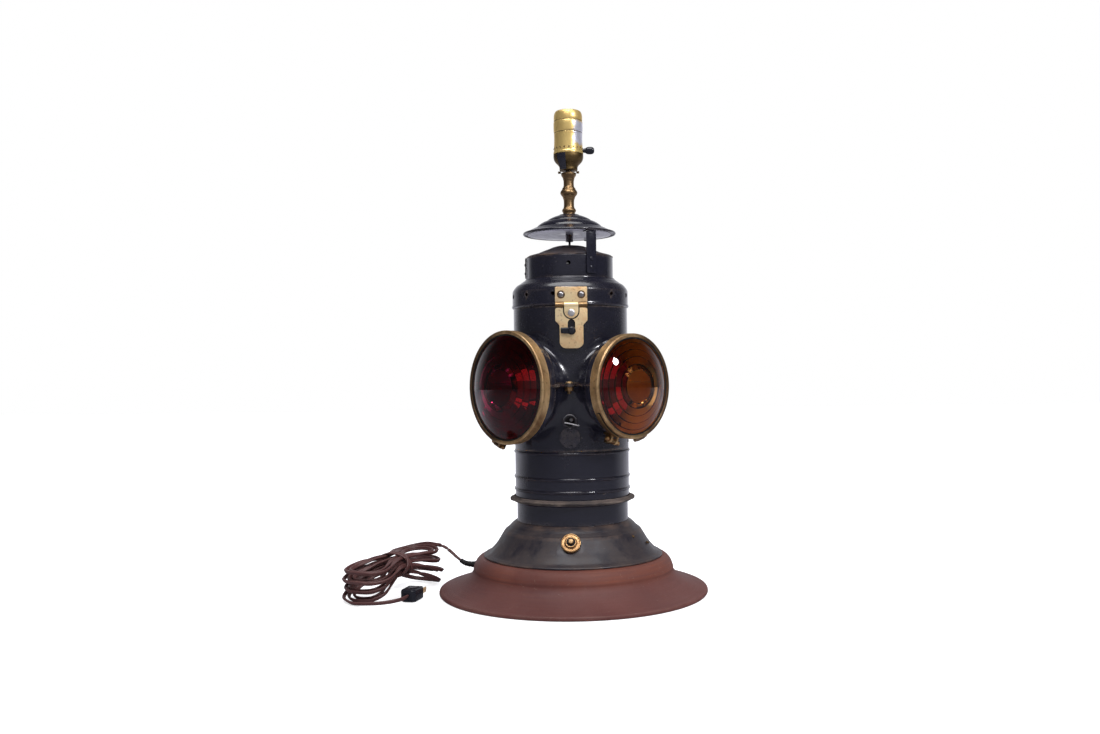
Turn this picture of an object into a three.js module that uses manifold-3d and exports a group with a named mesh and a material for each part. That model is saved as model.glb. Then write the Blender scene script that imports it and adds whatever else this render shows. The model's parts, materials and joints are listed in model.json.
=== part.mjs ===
// A railroad switch lamp made into a table lamp: a black steel body with four lens doors,
// a hinged lid with chimney and smoke cap, a socket on a brass neck, a turned wooden base
// and a hank of cord. Lengths are in millimetres and angles in degrees. The floor is z = 0,
// the lamp's axis is x = y = 0, and the front is -Y.
import * as THREE from "three";
import { mergeVertices } from "three/addons/utils/BufferGeometryUtils.js";
import Module from "manifold-3d";

const wasm = await Module();
wasm.setup();

// Shared clearances and facets
const gap = 0.3; // between pieces that touch
const overrun = 6; // how far a cut runs past its piece
const broadSides = 24; // facets of the round pieces that are wide
const mediumSides = 16;
const smallSides = 10;
const thinSides = 8;

// Wooden base
const baseRadius = 169;
const baseEdgeHeight = 3;
const baseHeight = 45.5;
const baseSideRadius = 126;
const baseSideFoot = 30;
const baseShoulderFoot = 31;
const baseLipRadius = 113;
const wellRadius = 60;
const wellFloor = 14;
const flareShares = [[1, 0], [0.6, 0.215], [0.3, 0.44], [0.12, 0.65], [0.03, 0.83], [0, 1]];
const shoulderShares = [[1, 0], [0.85, 0.4], [0.6, 0.75], [0.3, 0.95], [0, 1]];

// Domed base plate
const sheetWall = 1.2; // black steel sheet, as on the case, the lid and the drum
const domeRadius = 112;
const domeHeight = 43.7;
const domeHoleRadius = 8;
const domeShares = [[1, 0], [1, 0.05], [0.86, 0.09], [0.6, 0.37], [0.475, 0.55], [0.34, 0.76], [0.18, 0.91], [0, 1]];

// Lower case
const bodyRadius = 71.8;
const caseFootInset = 1.8; // from the case's wall in to its foot
const caseFootRadius = bodyRadius - caseFootInset;
const caseHeight = 90;
const caseStepShare = 0.25;
const beadHeight = 1.5; // how far a bead stands out
const beadWidth = 3;
const beadShares = [0.45, 0.62]; // of the case's height
const topBeadShare = 0.975;

// Drip ring
const dripReach = 7; // from the case's wall to the ring's edge
const dripThickness = 2.2;
const dripHeight = 6.5;
const dripPlaceShare = 0.31; // of the case's height

// Lens body, in two halves that meet in a flange
const bodyHeight = 175.4;
const lensHeight = 258; // of the lens axes above the floor
const seamHeight = 260;
const collarBack = 86; // from the lamp's axis
const collarLength = 17;
const neckShares = [[0.35, 0.79], [0.8, 0.765], [0.94, 0.86], [1, 1]];
const flangeWidth = 4.5;
const flangeThickness = 1.5;
const flangeEnd = 94; // from the lamp's axis, under each door

// Lens doors: the large pair faces front left and rear right, the small pair the other two corners
const largeDoorRadius = 68.25;
const smallDoorRadius = 62.75;
const doorWall = 1.6;
const doorClearance = 0.5; // between a door's skirt and the collar
const doorDepth = 12;
const doorBack = 98; // from the lamp's axis
const doorLip = 4.25; // how far the lip reaches in
const lipThickness = 2.1;
const lensRim = 3.4;
const lensCrown = 20;
const lensSeatShares = [[0.85, 0.05], [0.56, 0.15], [0.5, 0.5], [0, 0.4]];
const crownShares = [1, 0.78, 0.45, 0];

// Lens hinges, at seven o'clock on each door
const hingeAngle = 22; // from the lowest point, towards the viewer's left
const hingeReach = 6.5; // from the door's side to the pin's axis
const hingeSetback = 1; // from the door's back to the pin's axis
const knuckleRadius = 3.6;
const knuckleLength = 6;
const hingePinRadius = 1.5;
const hingeBore = 1.8;
const earThickness = 2.8;
const pinBallRadius = 2.9;
const footWidth = 12;
const footThickness = 3;
const footLength = 7;

// Seam bolts
const boltRadius = 2.4;
const boltHeadRadius = 4.6;
const boltHeadHeight = 3;
const boltTail = 8.5; // below the flange
const nutRadius = 5.5;
const nutHeight = 5;
const boltSetout = 9.7; // from the body's wall to the bolt's axis
const boltEarRadius = 7;

// Peephole and its swinging cover
const peepHeight = 216.5;
const peepRadius = 6;
const peepBossRadius = 8.5;
const peepBossHeight = 2.2;
const peepPivotDrop = 10; // from the hole's centre to the cover's stud
const peepCoverDrop = 9.5; // from the stud to the cover's centre
const peepCoverRadius = 12.5;
const peepCoverThickness = 1;
const peepStudRadius = 1.5;
const peepHeadRadius = 3;

// Lid
const lidOverhang = 1.2; // beyond the body's wall
const lidRadius = bodyRadius + lidOverhang;
const lidBandHeight = 20.5;
const lidShoulderWidth = 16;
const lidLedgeRadius = lidRadius - lidShoulderWidth;
const lidShoulderHeight = 15;
const lidShoulderShares = [[1, 0], [0.93, 0.18], [0.67, 0.53], [0.42, 0.7], [0, 1]];
const ventCount = 12;
const ventRadius = 2.4;
const ventPlaceShare = 0.73; // of the band's height

// Chimney drum, its roof and the two straps that carry the smoke cap
const drumSetback = 2.4; // from the ledge's edge
const drumRadius = lidLedgeRadius - drumSetback;
const drumHeight = 28;
const drumHoleRadius = 2.5;
const drumHoleShare = 0.62;
const drumHoleCount = 4;
const roofHeight = 15.2;
const roofOpening = 12;
const roofShares = [[1, 0], [1, 0.08], [0.96, 0.15], [0.69, 0.35], [0.38, 0.7], [0.1, 0.98], [0, 1]];
const strapAngles = { cap_strap_right: 30, cap_strap_rear: 150 };
const strapWidth = 13.4;
const strapThickness = 1.5;
const strapOverlap = 23; // how far a strap reaches down the drum
const strapTab = 10;
const strapRivetRadius = 2.2;
const strapRivetShares = [0.3, 0.75];

// Smoke cap
const capOverhang = 3.8; // beyond the drum
const capRadius = drumRadius + capOverhang;
const capHeight = 26;
const capDraught = 29.7; // from the drum's top edge to the cap's rim
const capShares = [[1, 0], [0.985, 0.08], [0.83, 0.22], [0.64, 0.32], [0.56, 0.5], [0.17, 0.92], [0.06, 1], [0, 1]];
const baffleSetback = 5.4; // from the cap's edge
const baffleRadius = capRadius - baffleSetback;
const baffleThickness = 1;
const baffleLift = -0.2; // from the cap's rim to the baffle

// Threaded pipe, cap nut and the wire inside
const pipeRadius = 4.9;
const pipeBore = 3.4;
const pipeLength = 104;
const pipeDrop = 8.5; // below the cap's rim
const capNutRadius = 8;
const capNutHeight = 6;
const wireRadius = 1.4;
const wireLength = 166;

// Neck and saddle washer
const neckBeadRadius = 10.8;
const neckLength = 52.2;
const neckProfileShares = [
  [0.7, 0], [0.7, 0.04], [0.82, 0.09], [0.7, 0.14], [0.61, 0.19], [0.61, 0.34], [0.77, 0.435], [1, 0.51],
  [0.88, 0.58], [0.61, 0.68], [0.61, 0.82], [0.77, 0.92], [0.88, 1],
];
const saddleThickness = 2.4;
const saddleRadius = 10;
const earReach = 13;
const earWidth = 6;

// Lamp socket with its turn key
const socketRadius = 18.9;
const socketCapHeight = 20.5;
const socketCapShares = [[0.6, 0], [0.6, 0.24], [0.7, 0.37], [0.84, 0.49], [0.94, 0.62], [1, 0.78], [1, 1]];
const socketWall = 0.7;
const shellHeight = 54.4;
const shellShares = [
  [1, 0], [1, 0.035], [0.973, 0.055], [0.942, 0.33], [0.942, 0.6], [0.973, 0.67], [0.973, 0.87], [0.92, 0.945], [0.77, 1],
];
const coreRadius = 15.5;
const coreFlangeRadius = 17.4;
const coreFlangeHeight = 2.2;
const coreDrop = 3.5; // below the shell's edge
const coreHeight = 28;
const contactRadius = 4;
const contactHeight = 3;
const screwRadius = 13.8;
const screwBore = 13;
const screwHeight = 25.5;
const keyLift = 4.6; // above the shell's edge
const keyStemRadius = 2;
const keyStemStart = 7.6;
const keyKnobStart = 21;
const keyKnobLength = 12;
const keyKnobRadius = 4.8;
const keyFlatShare = 0.55; // the knob is a flat paddle
const keyKnobShares = [[0.5, 0], [0.6, 0.06], [0.95, 0.3], [1, 0.5], [0.95, 0.7], [0.6, 0.96], [0, 1]];

// Hasp on the lid's front, with the turn catch
const haspAngle = 2.5;
const haspWidth = 38.5;
const haspPlateHeight = 18.5;
const haspPlateThickness = 1.3;
const haspRivetSpacing = 24.4;
const haspRivetRadius = 3.6;
const haspRivetHeight = 1.4;
const leafThickness = 1.5;
const leafLength = 52;
const leafNeckShare = 0.36;
const leafTipWidth = 28.5;
const leafTipCut = 6;
const slotWidth = 8.9;
const slotTopShare = 0.33;
const slotFootShare = 0.68;
const haspKnuckleRadius = 3;
const haspPinRadius = 1.3;
const haspBore = 1.6;
const haspCentreWidth = 17;
const tongueLength = 16;
const tongueThickness = 1.2;
const leafRivetDrop = 9.5;
const leafRivetRadius = 4.4;
const leafRivetHeight = 1.4;
const catchHubLength = 7;
const catchHubRadius = 5;
const catchLeverLength = 13;
const catchLeverWidth = 7.5;
const catchLeverThickness = 4;

// Lid hinge at the rear
const lidHingeWidth = 34;
const lidHingeCentreWidth = 14;
const lidLeafHeight = 16;
const bodyLeafHeight = 26;
const lidLeafThickness = 1.6;

// Base switch
const switchHeight = 72.4; // of its hole above the floor
const switchHoleRadius = 5.3;
const switchStemRadius = 5;
const switchBore = 3.8;
const switchStemLength = 6.9;
const switchBodyRadius = 13;
const switchBodyLength = 20;
const switchBodySetback = 3.4;
const switchNutRadius = 12;
const switchNutShares = [[1, 0], [1, 0.5], [0.9, 0.62], [0.6, 0.66], [0.58, 0.95], [0.5, 1]];
const switchNutHeight = 6.2;
const switchNutStandoff = 0.8; // clears the dome's curve
const buttonRadius = 3.4;
const buttonLength = 18;
const buttonProud = 3.2;

// Lampholder and bulb inside the body
const holderFlangeRadius = 14;
const holderFlangeHeight = 3;
const holderPostRadius = 5;
const holderPostHeight = 76;
const holderCupRadius = 16;
const holderCupHeight = 42;
const holderCupBore = 13.6;
const holderCupDepth = 26;
const bulbRadius = 30;
const bulbLength = 108;
const bulbShares = [
  [0.42, 0], [0.42, 0.24], [0.5, 0.3], [0.8, 0.5], [0.97, 0.62], [1, 0.72], [0.92, 0.83], [0.67, 0.93], [0, 1],
];

// Cord: a flat lamp cord, here as round as it is wide
const cordDiameter = 5.2;
const cordSides = 8;
const bushingAngle = 170;
const bushingHeight = 28.4;
const bushingRadius = 5;
const bushingFlange = 2;
const bushingStemRadius = 4.2;
const bushingStemLength = 12;
const stretchSteps = 16;
// The route from the bushing to the hank, chosen by hand
const stretchRoute = [[-141, 26, 29.6], [-151, 31.6, 34.8], [-161, 37.8, 42], [-169.5, 43, 47.2]];

// Hank: loops that spiral in and out in four layers, tied at the waist, which stands off the floor
const hankCentre = [-226, -12];
const hankHeading = 63;
const hankHalfLength = 63;
const hankHalfWidth = 43;
const hankPinchShare = 0.9;
const hankStep = 6.2;
const hankWaistStep = 6;
const hankFrontFan = 6; // what the layers gain at the front end
const hankRearFan = 10;
const hankLift = 24;
const hankStartAngle = 80;
const hankEndAngle = 3500;
const hankLayers = 4;
const hankLayerAngle = 900;
const hankSpread = 1.5; // how fast the fan opens towards the ends
const hankSides = 5;
const hankStepsPerLoop = 24;
// The way from the last loop to the plug, in the hank's own long, short and upward directions
const plugRoute = [[-81.5, 4, 3], [-80, 20, 4], [-75, 35, 5], [-66, 46, 6], [-54, 52, 7]];

// Plug
const plugCentre = [-196, -56];
const plugHeading = 78;
const plugLength = 28;
const plugWidth = 20;
const plugHeight = 15;
const plugChamfer = 4;
const bladeLength = 16;
const bladeWidth = 6.4;
const bladeThickness = 1.5;
const bladeSpacing = 12.7;

const rad = THREE.MathUtils.degToRad;
const quarter = Math.PI / 2;

// Finishes
const finish = (color, roughness, metalness) => new THREE.MeshStandardMaterial({ color, roughness, metalness });
const japan = () => finish(0x14141a, 0.35, 0.6);
const dustyJapan = () => finish(0x2a2725, 0.7, 0.4);
const brass = () => finish(0xa98746, 0.4, 0.9);
const brightBrass = () => finish(0xd0a840, 0.25, 0.9);
const agedBrass = () => finish(0x8a6a3e, 0.45, 0.9);
const copper = () => finish(0xa8713d, 0.45, 0.9);
const steel = () => finish(0x8b8b90, 0.35, 0.9);
const mahogany = () => finish(0x5c2a22, 0.7, 0);
const rubyGlass = () => finish(0x4a0f24, 0.08, 0);
const amberGlass = () => finish(0xb1441a, 0.08, 0);
const clearGlass = () => finish(0xd8dcdc, 0.05, 0);
const phenolic = () => finish(0x18181a, 0.45, 0);
const brownCord = () => finish(0x3c2522, 0.6, 0);

const lamp = new THREE.Group();

// The signed volume tells whether the faces point out
function signedVolume(positions, triangles) {
  const corner = [new THREE.Vector3(), new THREE.Vector3(), new THREE.Vector3()];
  let total = 0;
  for (let i = 0; i < triangles.length; i += 3) {
    corner.forEach((point, k) => point.fromArray(positions, 3 * triangles[i + k]));
    total += corner[0].dot(corner[1].cross(corner[2])) / 6;
  }
  return total;
}

// A closed geometry as a solid whose faces point out
function solid(geometry) {
  const bare = geometry.clone();
  bare.deleteAttribute("normal");
  bare.deleteAttribute("uv");
  const merged = mergeVertices(bare);
  const vertProperties = Float32Array.from(merged.attributes.position.array);
  const triangles = [];
  for (let i = 0; i < merged.index.count; i += 3) {
    const [a, b, c] = [0, 1, 2].map((k) => merged.index.getX(i + k));
    if (a !== b && b !== c && c !== a) triangles.push(a, b, c);
  }
  if (signedVolume(vertProperties, triangles) < 0) triangles.reverse();
  const mesh = new wasm.Mesh({ numProp: 3, vertProperties, triVerts: Uint32Array.from(triangles) });
  return new wasm.Manifold(mesh);
}

function addPart(name, shape, material, parent = lamp) {
  const { vertProperties, triVerts } = shape.getMesh();
  const geometry = new THREE.BufferGeometry();
  geometry.setAttribute("position", new THREE.BufferAttribute(Float32Array.from(vertProperties), 3));
  geometry.setIndex(new THREE.BufferAttribute(Uint32Array.from(triVerts), 1));
  geometry.computeVertexNormals();
  const mesh = new THREE.Mesh(geometry, material);
  mesh.name = name;
  parent.add(mesh);
  return mesh;
}

const union = (shapes) => shapes.reduce((sum, shape) => sum.add(shape));
const cut = (shape, tools) => tools.reduce((rest, tool) => rest.subtract(tool), shape);

// A profile of [radius, z] turned about the z axis
function turned(profile, sides) {
  const points = profile.map(([radius, z]) => new THREE.Vector2(Math.max(radius, 0), z));
  return new THREE.LatheGeometry(points, sides).rotateX(quarter);
}

function rod(radius, low, high, sides = smallSides) {
  const length = high - low;
  return new THREE.CylinderGeometry(radius, radius, length, sides).rotateX(quarter).translate(0, 0, low + length / 2);
}

function block([x0, x1], [y0, y1], [z0, z1]) {
  const box = new THREE.BoxGeometry(x1 - x0, y1 - y0, z1 - z0);
  return box.translate((x0 + x1) / 2, (y0 + y1) / 2, (z0 + z1) / 2);
}

const alongX = (geometry) => geometry.rotateY(quarter);
const towardsFront = (geometry) => geometry.rotateX(quarter);
const tube = (outer, bore, low, high, sides, boreSides = sides) =>
  solid(rod(outer, low, high, sides)).subtract(solid(rod(bore, low - overrun, high + overrun, boreSides)));
const domed = (radius, height, sides = smallSides) =>
  turned([[0, 0], [radius, 0], [radius * 0.8, height * 0.7], [0, height]], sides);

// A table of shares spread over a radius range and a height range
const spread = (shares, innerRadius, outerRadius, low, high) =>
  shares.map(([r, h]) => [innerRadius + r * (outerRadius - innerRadius), low + h * (high - low)]);

// The same open profile moved inwards by a wall, square to itself
function inset(profile, wall) {
  const point = profile.map(([radius, z]) => new THREE.Vector2(radius, z));
  const side = (a, b) => new THREE.Vector2(b.y - a.y, a.x - b.x).normalize();
  return point.map((p, i) => {
    const before = side(point[Math.max(i - 1, 0)], point[Math.max(i, 1)]);
    const after = side(point[Math.min(i, point.length - 2)], point[Math.min(i + 1, point.length - 1)]);
    const middle = before.clone().add(after).normalize();
    const reach = wall / Math.max(middle.dot(before), 0.6);
    return [p.x - middle.x * reach, p.y - middle.y * reach];
  });
}

// An open outer profile, listed upwards, closed by its own inset
const sheet = (profile, wall) => [...profile, ...inset(profile, wall).reverse(), profile[0]];
// An open outer profile, listed upwards, closed by a plain bore
function bored(profile, bore) {
  const [foot, top] = [profile[0][1], profile[profile.length - 1][1]];
  return [...profile, [bore, top], [bore, foot], profile[0]];
}

// Heights that follow from the stack of pieces
const domeFoot = baseHeight + gap;
const domeTop = domeFoot + domeHeight;
const caseFoot = domeTop + gap;
const caseTop = caseFoot + caseHeight;
const bodyFoot = caseTop + gap;
const bodyTop = bodyFoot + bodyHeight;
const lidFoot = bodyTop + gap;
const bandTop = lidFoot + lidBandHeight;
const lidTop = bandTop + lidShoulderHeight;
const drumFoot = lidTop + gap;
const drumTop = drumFoot + drumHeight;
const roofFoot = drumTop + gap;
const capFoot = drumTop + capDraught;
const capTop = capFoot + capHeight;
const neckFoot = capTop + gap;
const saddleFoot = neckFoot + neckLength + gap;
const socketCapFoot = saddleFoot + saddleThickness + gap;
const shellFoot = socketCapFoot + socketCapHeight + gap;
const pipeFit = pipeRadius + gap;

function woodBase() {
  const profile = [
    [0, 0],
    [baseRadius, 0],
    ...spread(flareShares, baseSideRadius, baseRadius, baseEdgeHeight, baseSideFoot),
    ...spread(shoulderShares, baseLipRadius, baseSideRadius, baseShoulderFoot, baseHeight),
    [0, baseHeight],
  ];
  const well = rod(wellRadius, wellFloor, baseHeight + overrun, mediumSides);
  const cordHole = alongX(rod(bushingStemRadius + gap, 0, baseRadius, thinSides)).rotateZ(rad(bushingAngle));
  const seat = alongX(rod(bushingRadius + gap, baseSideRadius, baseRadius, thinSides)).rotateZ(rad(bushingAngle));
  const body = cut(solid(turned(profile, broadSides)), [
    solid(well),
    solid(cordHole.translate(0, 0, bushingHeight)),
    solid(seat.translate(0, 0, bushingHeight)),
  ]);
  addPart("wood_base", body, mahogany());
}

const domeProfile = spread(domeShares, bodyRadius, domeRadius, domeFoot, domeTop);

// The place on the dome at a height, and how far its outward normal is tilted up
function onDome(z) {
  const i = domeProfile.findIndex(([, height], k) => k > 0 && height >= z);
  const [[r0, z0], [r1, z1]] = [domeProfile[i - 1], domeProfile[i]];
  return { radius: r0 + ((z - z0) / (z1 - z0)) * (r1 - r0), tilt: Math.atan2(r0 - r1, z1 - z0) };
}

// A group at the switch hole whose +Z is the dome's outward normal
function switchGroup() {
  const { radius, tilt } = onDome(switchHeight);
  const group = new THREE.Group();
  group.position.set(0, -radius, switchHeight);
  group.rotation.x = quarter - tilt;
  group.updateMatrixWorld();
  return group;
}

function basePlate() {
  const profile = sheet([...domeProfile, [domeHoleRadius, domeTop]], sheetWall);
  const hole = rod(switchHoleRadius, -overrun, overrun).applyMatrix4(switchGroup().matrixWorld);
  addPart("base_dome", solid(turned(profile, broadSides)).subtract(solid(hole)), dustyJapan());
}

function bead(radius, z) {
  return [[radius, z - beadWidth / 2], [radius + beadHeight, z], [radius, z + beadWidth / 2]];
}

function lowerCase() {
  const step = caseFoot + caseStepShare * caseHeight;
  const profile = [
    [caseFootRadius, caseFoot],
    [caseFootRadius, step],
    [bodyRadius, step + bodyRadius - caseFootRadius],
    ...beadShares.flatMap((share) => bead(bodyRadius, caseFoot + share * caseHeight)),
    ...bead(bodyRadius, caseFoot + topBeadShare * caseHeight),
    [bodyRadius, caseTop],
  ];
  addPart("lower_case", solid(turned(bored(profile, caseFootRadius - sheetWall), broadSides)), japan());
}

function dripRing() {
  const middle = caseFoot + dripPlaceShare * caseHeight;
  const [inner, edge] = [bodyRadius + gap, bodyRadius + dripReach];
  const profile = [
    [inner, middle - dripHeight / 2],
    [inner + dripThickness, middle - dripHeight / 2],
    [edge, middle - dripThickness / 2],
    [edge, middle + dripThickness / 2],
    [inner + dripThickness, middle + dripHeight / 2],
    [inner, middle + dripHeight / 2],
    [inner, middle - dripHeight / 2],
  ];
  addPart("drip_ring", solid(turned(profile, broadSides)), dustyJapan());
}

// Each door's name, heading and outer radius; a heading turns the front to the door
const doors = [
  { name: "front_left", heading: -45, radius: largeDoorRadius, glass: rubyGlass },
  { name: "front_right", heading: 45, radius: smallDoorRadius, glass: amberGlass },
  { name: "rear_right", heading: 135, radius: largeDoorRadius, glass: rubyGlass },
  { name: "rear_left", heading: -135, radius: smallDoorRadius, glass: amberGlass },
];
const collarRadius = (door) => door.radius - doorWall - doorClearance;
const collarFront = collarBack + collarLength;

// Turns a shape made along +Z, with +Y up, to point out of a door
const facing = (geometry, door) => geometry.rotateX(quarter).rotateZ(rad(door.heading)).translate(0, 0, lensHeight);

const neckProfile = (door, extra) =>
  neckShares.map(([along, wide]) => [wide * collarRadius(door) + extra, along * collarBack]);

function barrel(door) {
  const profile = [[0, 0], ...neckProfile(door, 0), [collarRadius(door), collarFront], [0, collarFront]];
  return solid(facing(turned(profile, mediumSides), door));
}

function barrelBore(door) {
  const [throat, mouth] = [neckProfile(door, -sheetWall)[1], neckProfile(door, -sheetWall).pop()];
  const high = collarFront + overrun;
  const profile = [[0, 0], [throat[0], 0], throat, mouth, [mouth[0], high], [0, high]];
  return solid(facing(turned(profile, mediumSides), door));
}

// The flange's plate beside one barrel, as the barrel's own outline made wider
function flangePlate(door, low) {
  const side = [...neckProfile(door, flangeWidth), [collarRadius(door) + flangeWidth, flangeEnd]];
  const points = [...side, ...side.map(([wide, along]) => [-wide, along]).reverse()];
  const outline = new THREE.Shape(points.map(([wide, along]) => new THREE.Vector2(wide, -along)));
  const plate = new THREE.ExtrudeGeometry(outline, { depth: flangeThickness, bevelEnabled: false });
  return solid(plate.rotateZ(rad(door.heading)).translate(0, 0, low));
}

const boltPlace = bodyRadius + boltSetout;

function seamFlange(low) {
  const high = low + flangeThickness;
  const ring = solid(rod(bodyRadius + flangeWidth, low, high, broadSides));
  const ears = [-1, 1].map((side) => solid(rod(boltEarRadius, low, high).translate(0, side * boltPlace, 0)));
  return union([ring, ...ears, ...doors.map((door) => flangePlate(door, low))]);
}

function peepBosses() {
  const front = bodyRadius + peepBossHeight;
  const boss = (radius, z) => solid(towardsFront(rod(radius, bodyRadius - overrun, front)).translate(0, 0, z));
  return [boss(peepBossRadius, peepHeight), boss(peepHeadRadius + gap, peepHeight - peepPivotDrop)];
}

function lensBody() {
  const core = solid(rod(bodyRadius, bodyFoot, bodyTop, broadSides));
  const upperFlange = seamHeight + gap;
  const shape = union([
    core,
    ...doors.map(barrel),
    ...peepBosses(),
    seamFlange(seamHeight - flangeThickness),
    seamFlange(upperFlange),
  ]);
  const stud = towardsFront(rod(peepStudRadius + gap, bodyRadius - overrun, bodyRadius + overrun, thinSides));
  const tools = [
    rod(bodyRadius - sheetWall, bodyFoot - overrun, bodyTop + overrun, broadSides),
    towardsFront(rod(peepRadius, bodyRadius - 2 * overrun, bodyRadius + overrun)).translate(0, 0, peepHeight),
    stud.translate(0, 0, peepHeight - peepPivotDrop),
    ...[-1, 1].map((side) => {
      const [low, high] = [seamHeight - overrun, seamHeight + overrun];
      return rod(boltRadius + gap, low, high, thinSides).translate(0, side * boltPlace, 0);
    }),
  ].map(solid);
  const whole = cut(shape, [...tools, ...doors.map(barrelBore)]);
  const wide = [-2 * baseRadius, 2 * baseRadius];
  const below = solid(block(wide, wide, [0, seamHeight]));
  const above = solid(block(wide, wide, [upperFlange, 2 * bodyTop]));
  addPart("lens_body_lower", whole.intersect(below), japan());
  addPart("lens_body_upper", whole.intersect(above), japan());
}

function seamBolt(end, side) {
  const top = seamHeight + gap + flangeThickness + gap;
  const bottom = seamHeight - flangeThickness - gap;
  const tail = bottom - boltTail;
  const group = new THREE.Group();
  group.position.y = side * boltPlace;
  lamp.add(group);
  const head = domed(boltHeadRadius, boltHeadHeight).translate(0, 0, top);
  addPart(`seam_bolt_${end}`, solid(rod(boltRadius, tail, top + gap, thinSides)).add(solid(head)), steel(), group);
  const nut = tube(nutRadius, boltRadius + gap, bottom - nutHeight, bottom, 6, thinSides);
  addPart(`seam_nut_${end}`, nut, brass(), group);
}

function peepCover() {
  const pivot = new THREE.Group();
  const front = bodyRadius + peepBossHeight + gap;
  pivot.position.set(0, -front, peepHeight - peepPivotDrop);
  pivot.rotation.x = quarter;
  lamp.add(pivot);
  const disc = rod(peepCoverRadius, 0, peepCoverThickness, mediumSides).translate(0, -peepCoverDrop, 0);
  const head = domed(peepHeadRadius, peepCoverThickness + gap).translate(0, 0, peepCoverThickness - gap);
  const stud = rod(peepStudRadius, -peepBossHeight - gap, peepCoverThickness + gap, thinSides);
  addPart("peep_cover", union([disc, head, stud].map(solid)), japan(), pivot);
}

// The part of a door's hinge geometry that the door and its bracket share, in the door's frame:
// +Z points out of the lens, +Y is up, and a turned copy has the pin along X at the lowest point
function hingeOf(door) {
  return { reach: door.radius + hingeReach, z: doorBack - hingeSetback };
}

// Turns a shape made at six o'clock to the hinge's place
const toHinge = (geometry) => geometry.rotateZ(rad(-hingeAngle));

function hingeBarrel(door, [from, to]) {
  const { reach, z } = hingeOf(door);
  return alongX(rod(knuckleRadius, from, to, thinSides)).translate(0, -reach, z);
}

function hingeHole(door) {
  const { reach, z } = hingeOf(door);
  return alongX(rod(hingeBore, -footWidth, footWidth, thinSides)).translate(0, -reach, z);
}

function doorRing(door) {
  const front = doorBack + doorDepth;
  const skirtBore = door.radius - doorWall;
  const lipBore = door.radius - doorLip;
  const profile = [
    [skirtBore, doorBack],
    [door.radius, doorBack],
    [door.radius, front - lipThickness / 2],
    [door.radius - lipThickness / 2, front],
    [lipBore, front],
    [lipBore, front - lipThickness],
    [skirtBore, front - lipThickness],
    [skirtBore, doorBack],
  ];
  const { reach, z } = hingeOf(door);
  const start = knuckleLength / 2 + gap;
  const ears = [[start, start + earThickness], [-start - earThickness, -start]].flatMap((place) => [
    hingeBarrel(door, place),
    block(place, [-reach, -skirtBore], [doorBack, z + knuckleRadius]),
  ]);
  const ring = union([turned(profile, mediumSides), ...ears.map(toHinge)].map(solid));
  return cut(ring, [hingeHole(door)].map(toHinge).map(solid));
}

const lensRadius = (door) => door.radius - doorWall - gap;

function lensShape(door) {
  const seat = doorBack + doorDepth - lipThickness - gap;
  const back = seat - lensRim;
  const rim = lensRadius(door);
  const crownRadius = door.radius - doorLip - 2 * gap;
  const ball = (crownRadius ** 2 + lensCrown ** 2) / (2 * lensCrown);
  const crown = crownShares.map((share) => {
    const radius = share * crownRadius;
    return [radius, seat + lensCrown - ball + Math.sqrt(ball ** 2 - radius ** 2)];
  });
  const inner = lensSeatShares.map(([r, h]) => [r * rim, back + h * lensCrown]);
  return solid(turned([...inner.reverse(), [rim, back], [rim, seat], ...crown], mediumSides));
}

function hingeBracket(door) {
  const { reach, z } = hingeOf(door);
  const wall = collarRadius(door) + gap;
  const half = knuckleLength / 2;
  const footFront = z - knuckleRadius - gap;
  const pieces = [
    hingeBarrel(door, [-half, half]),
    block([-half, half], [-reach - knuckleRadius, -wall], [footFront - footLength, z - hingePinRadius - gap]),
    block([-footWidth / 2, footWidth / 2], [-wall - footThickness, 2 - wall], [footFront - footLength, footFront]),
  ];
  const clear = rod(wall, 0, collarFront + overrun, 2 * mediumSides);
  const body = union(pieces.map(toHinge).map(solid));
  return cut(body, [solid(clear), solid(toHinge(hingeHole(door)))]);
}

function hingePin(door) {
  const { reach, z } = hingeOf(door);
  const ballPlace = knuckleLength / 2 + gap + earThickness + gap + pinBallRadius;
  const balls = [-1, 1].map((side) => {
    const ball = new THREE.SphereGeometry(pinBallRadius, thinSides, 3);
    return ball.translate(side * ballPlace, -reach, z);
  });
  const shaft = alongX(rod(hingePinRadius, -ballPlace, ballPlace, thinSides)).translate(0, -reach, z);
  return union([shaft, ...balls].map(toHinge).map(solid));
}

function lensDoor(door) {
  const heading = new THREE.Group();
  heading.position.z = lensHeight;
  heading.rotation.z = rad(door.heading);
  const upright = new THREE.Group();
  upright.rotation.x = quarter;
  heading.add(upright);
  lamp.add(heading);
  addPart(`door_ring_${door.name}`, doorRing(door), agedBrass(), upright);
  addPart(`lens_${door.name}`, lensShape(door), door.glass(), upright);
  addPart(`lens_bracket_${door.name}`, hingeBracket(door), copper(), upright);
  addPart(`lens_pin_${door.name}`, hingePin(door), copper(), upright);
}

function lidShell() {
  const shoulder = spread(lidShoulderShares, lidLedgeRadius, lidRadius, bandTop, lidTop);
  const ledge = drumRadius - sheetWall;
  const profile = sheet([[lidRadius, lidFoot], ...shoulder, [ledge, lidTop]], sheetWall);
  const ventHeight = lidFoot + ventPlaceShare * lidBandHeight;
  const vents = Array.from({ length: ventCount }, (_, i) => {
    const hole = alongX(rod(ventRadius, lidRadius - overrun, lidRadius + overrun, 6));
    return solid(hole.rotateZ(((i + 0.5) / ventCount) * 2 * Math.PI).translate(0, 0, ventHeight));
  });
  addPart("lid_shell", cut(solid(turned(profile, broadSides)), vents), japan());
}

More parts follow.
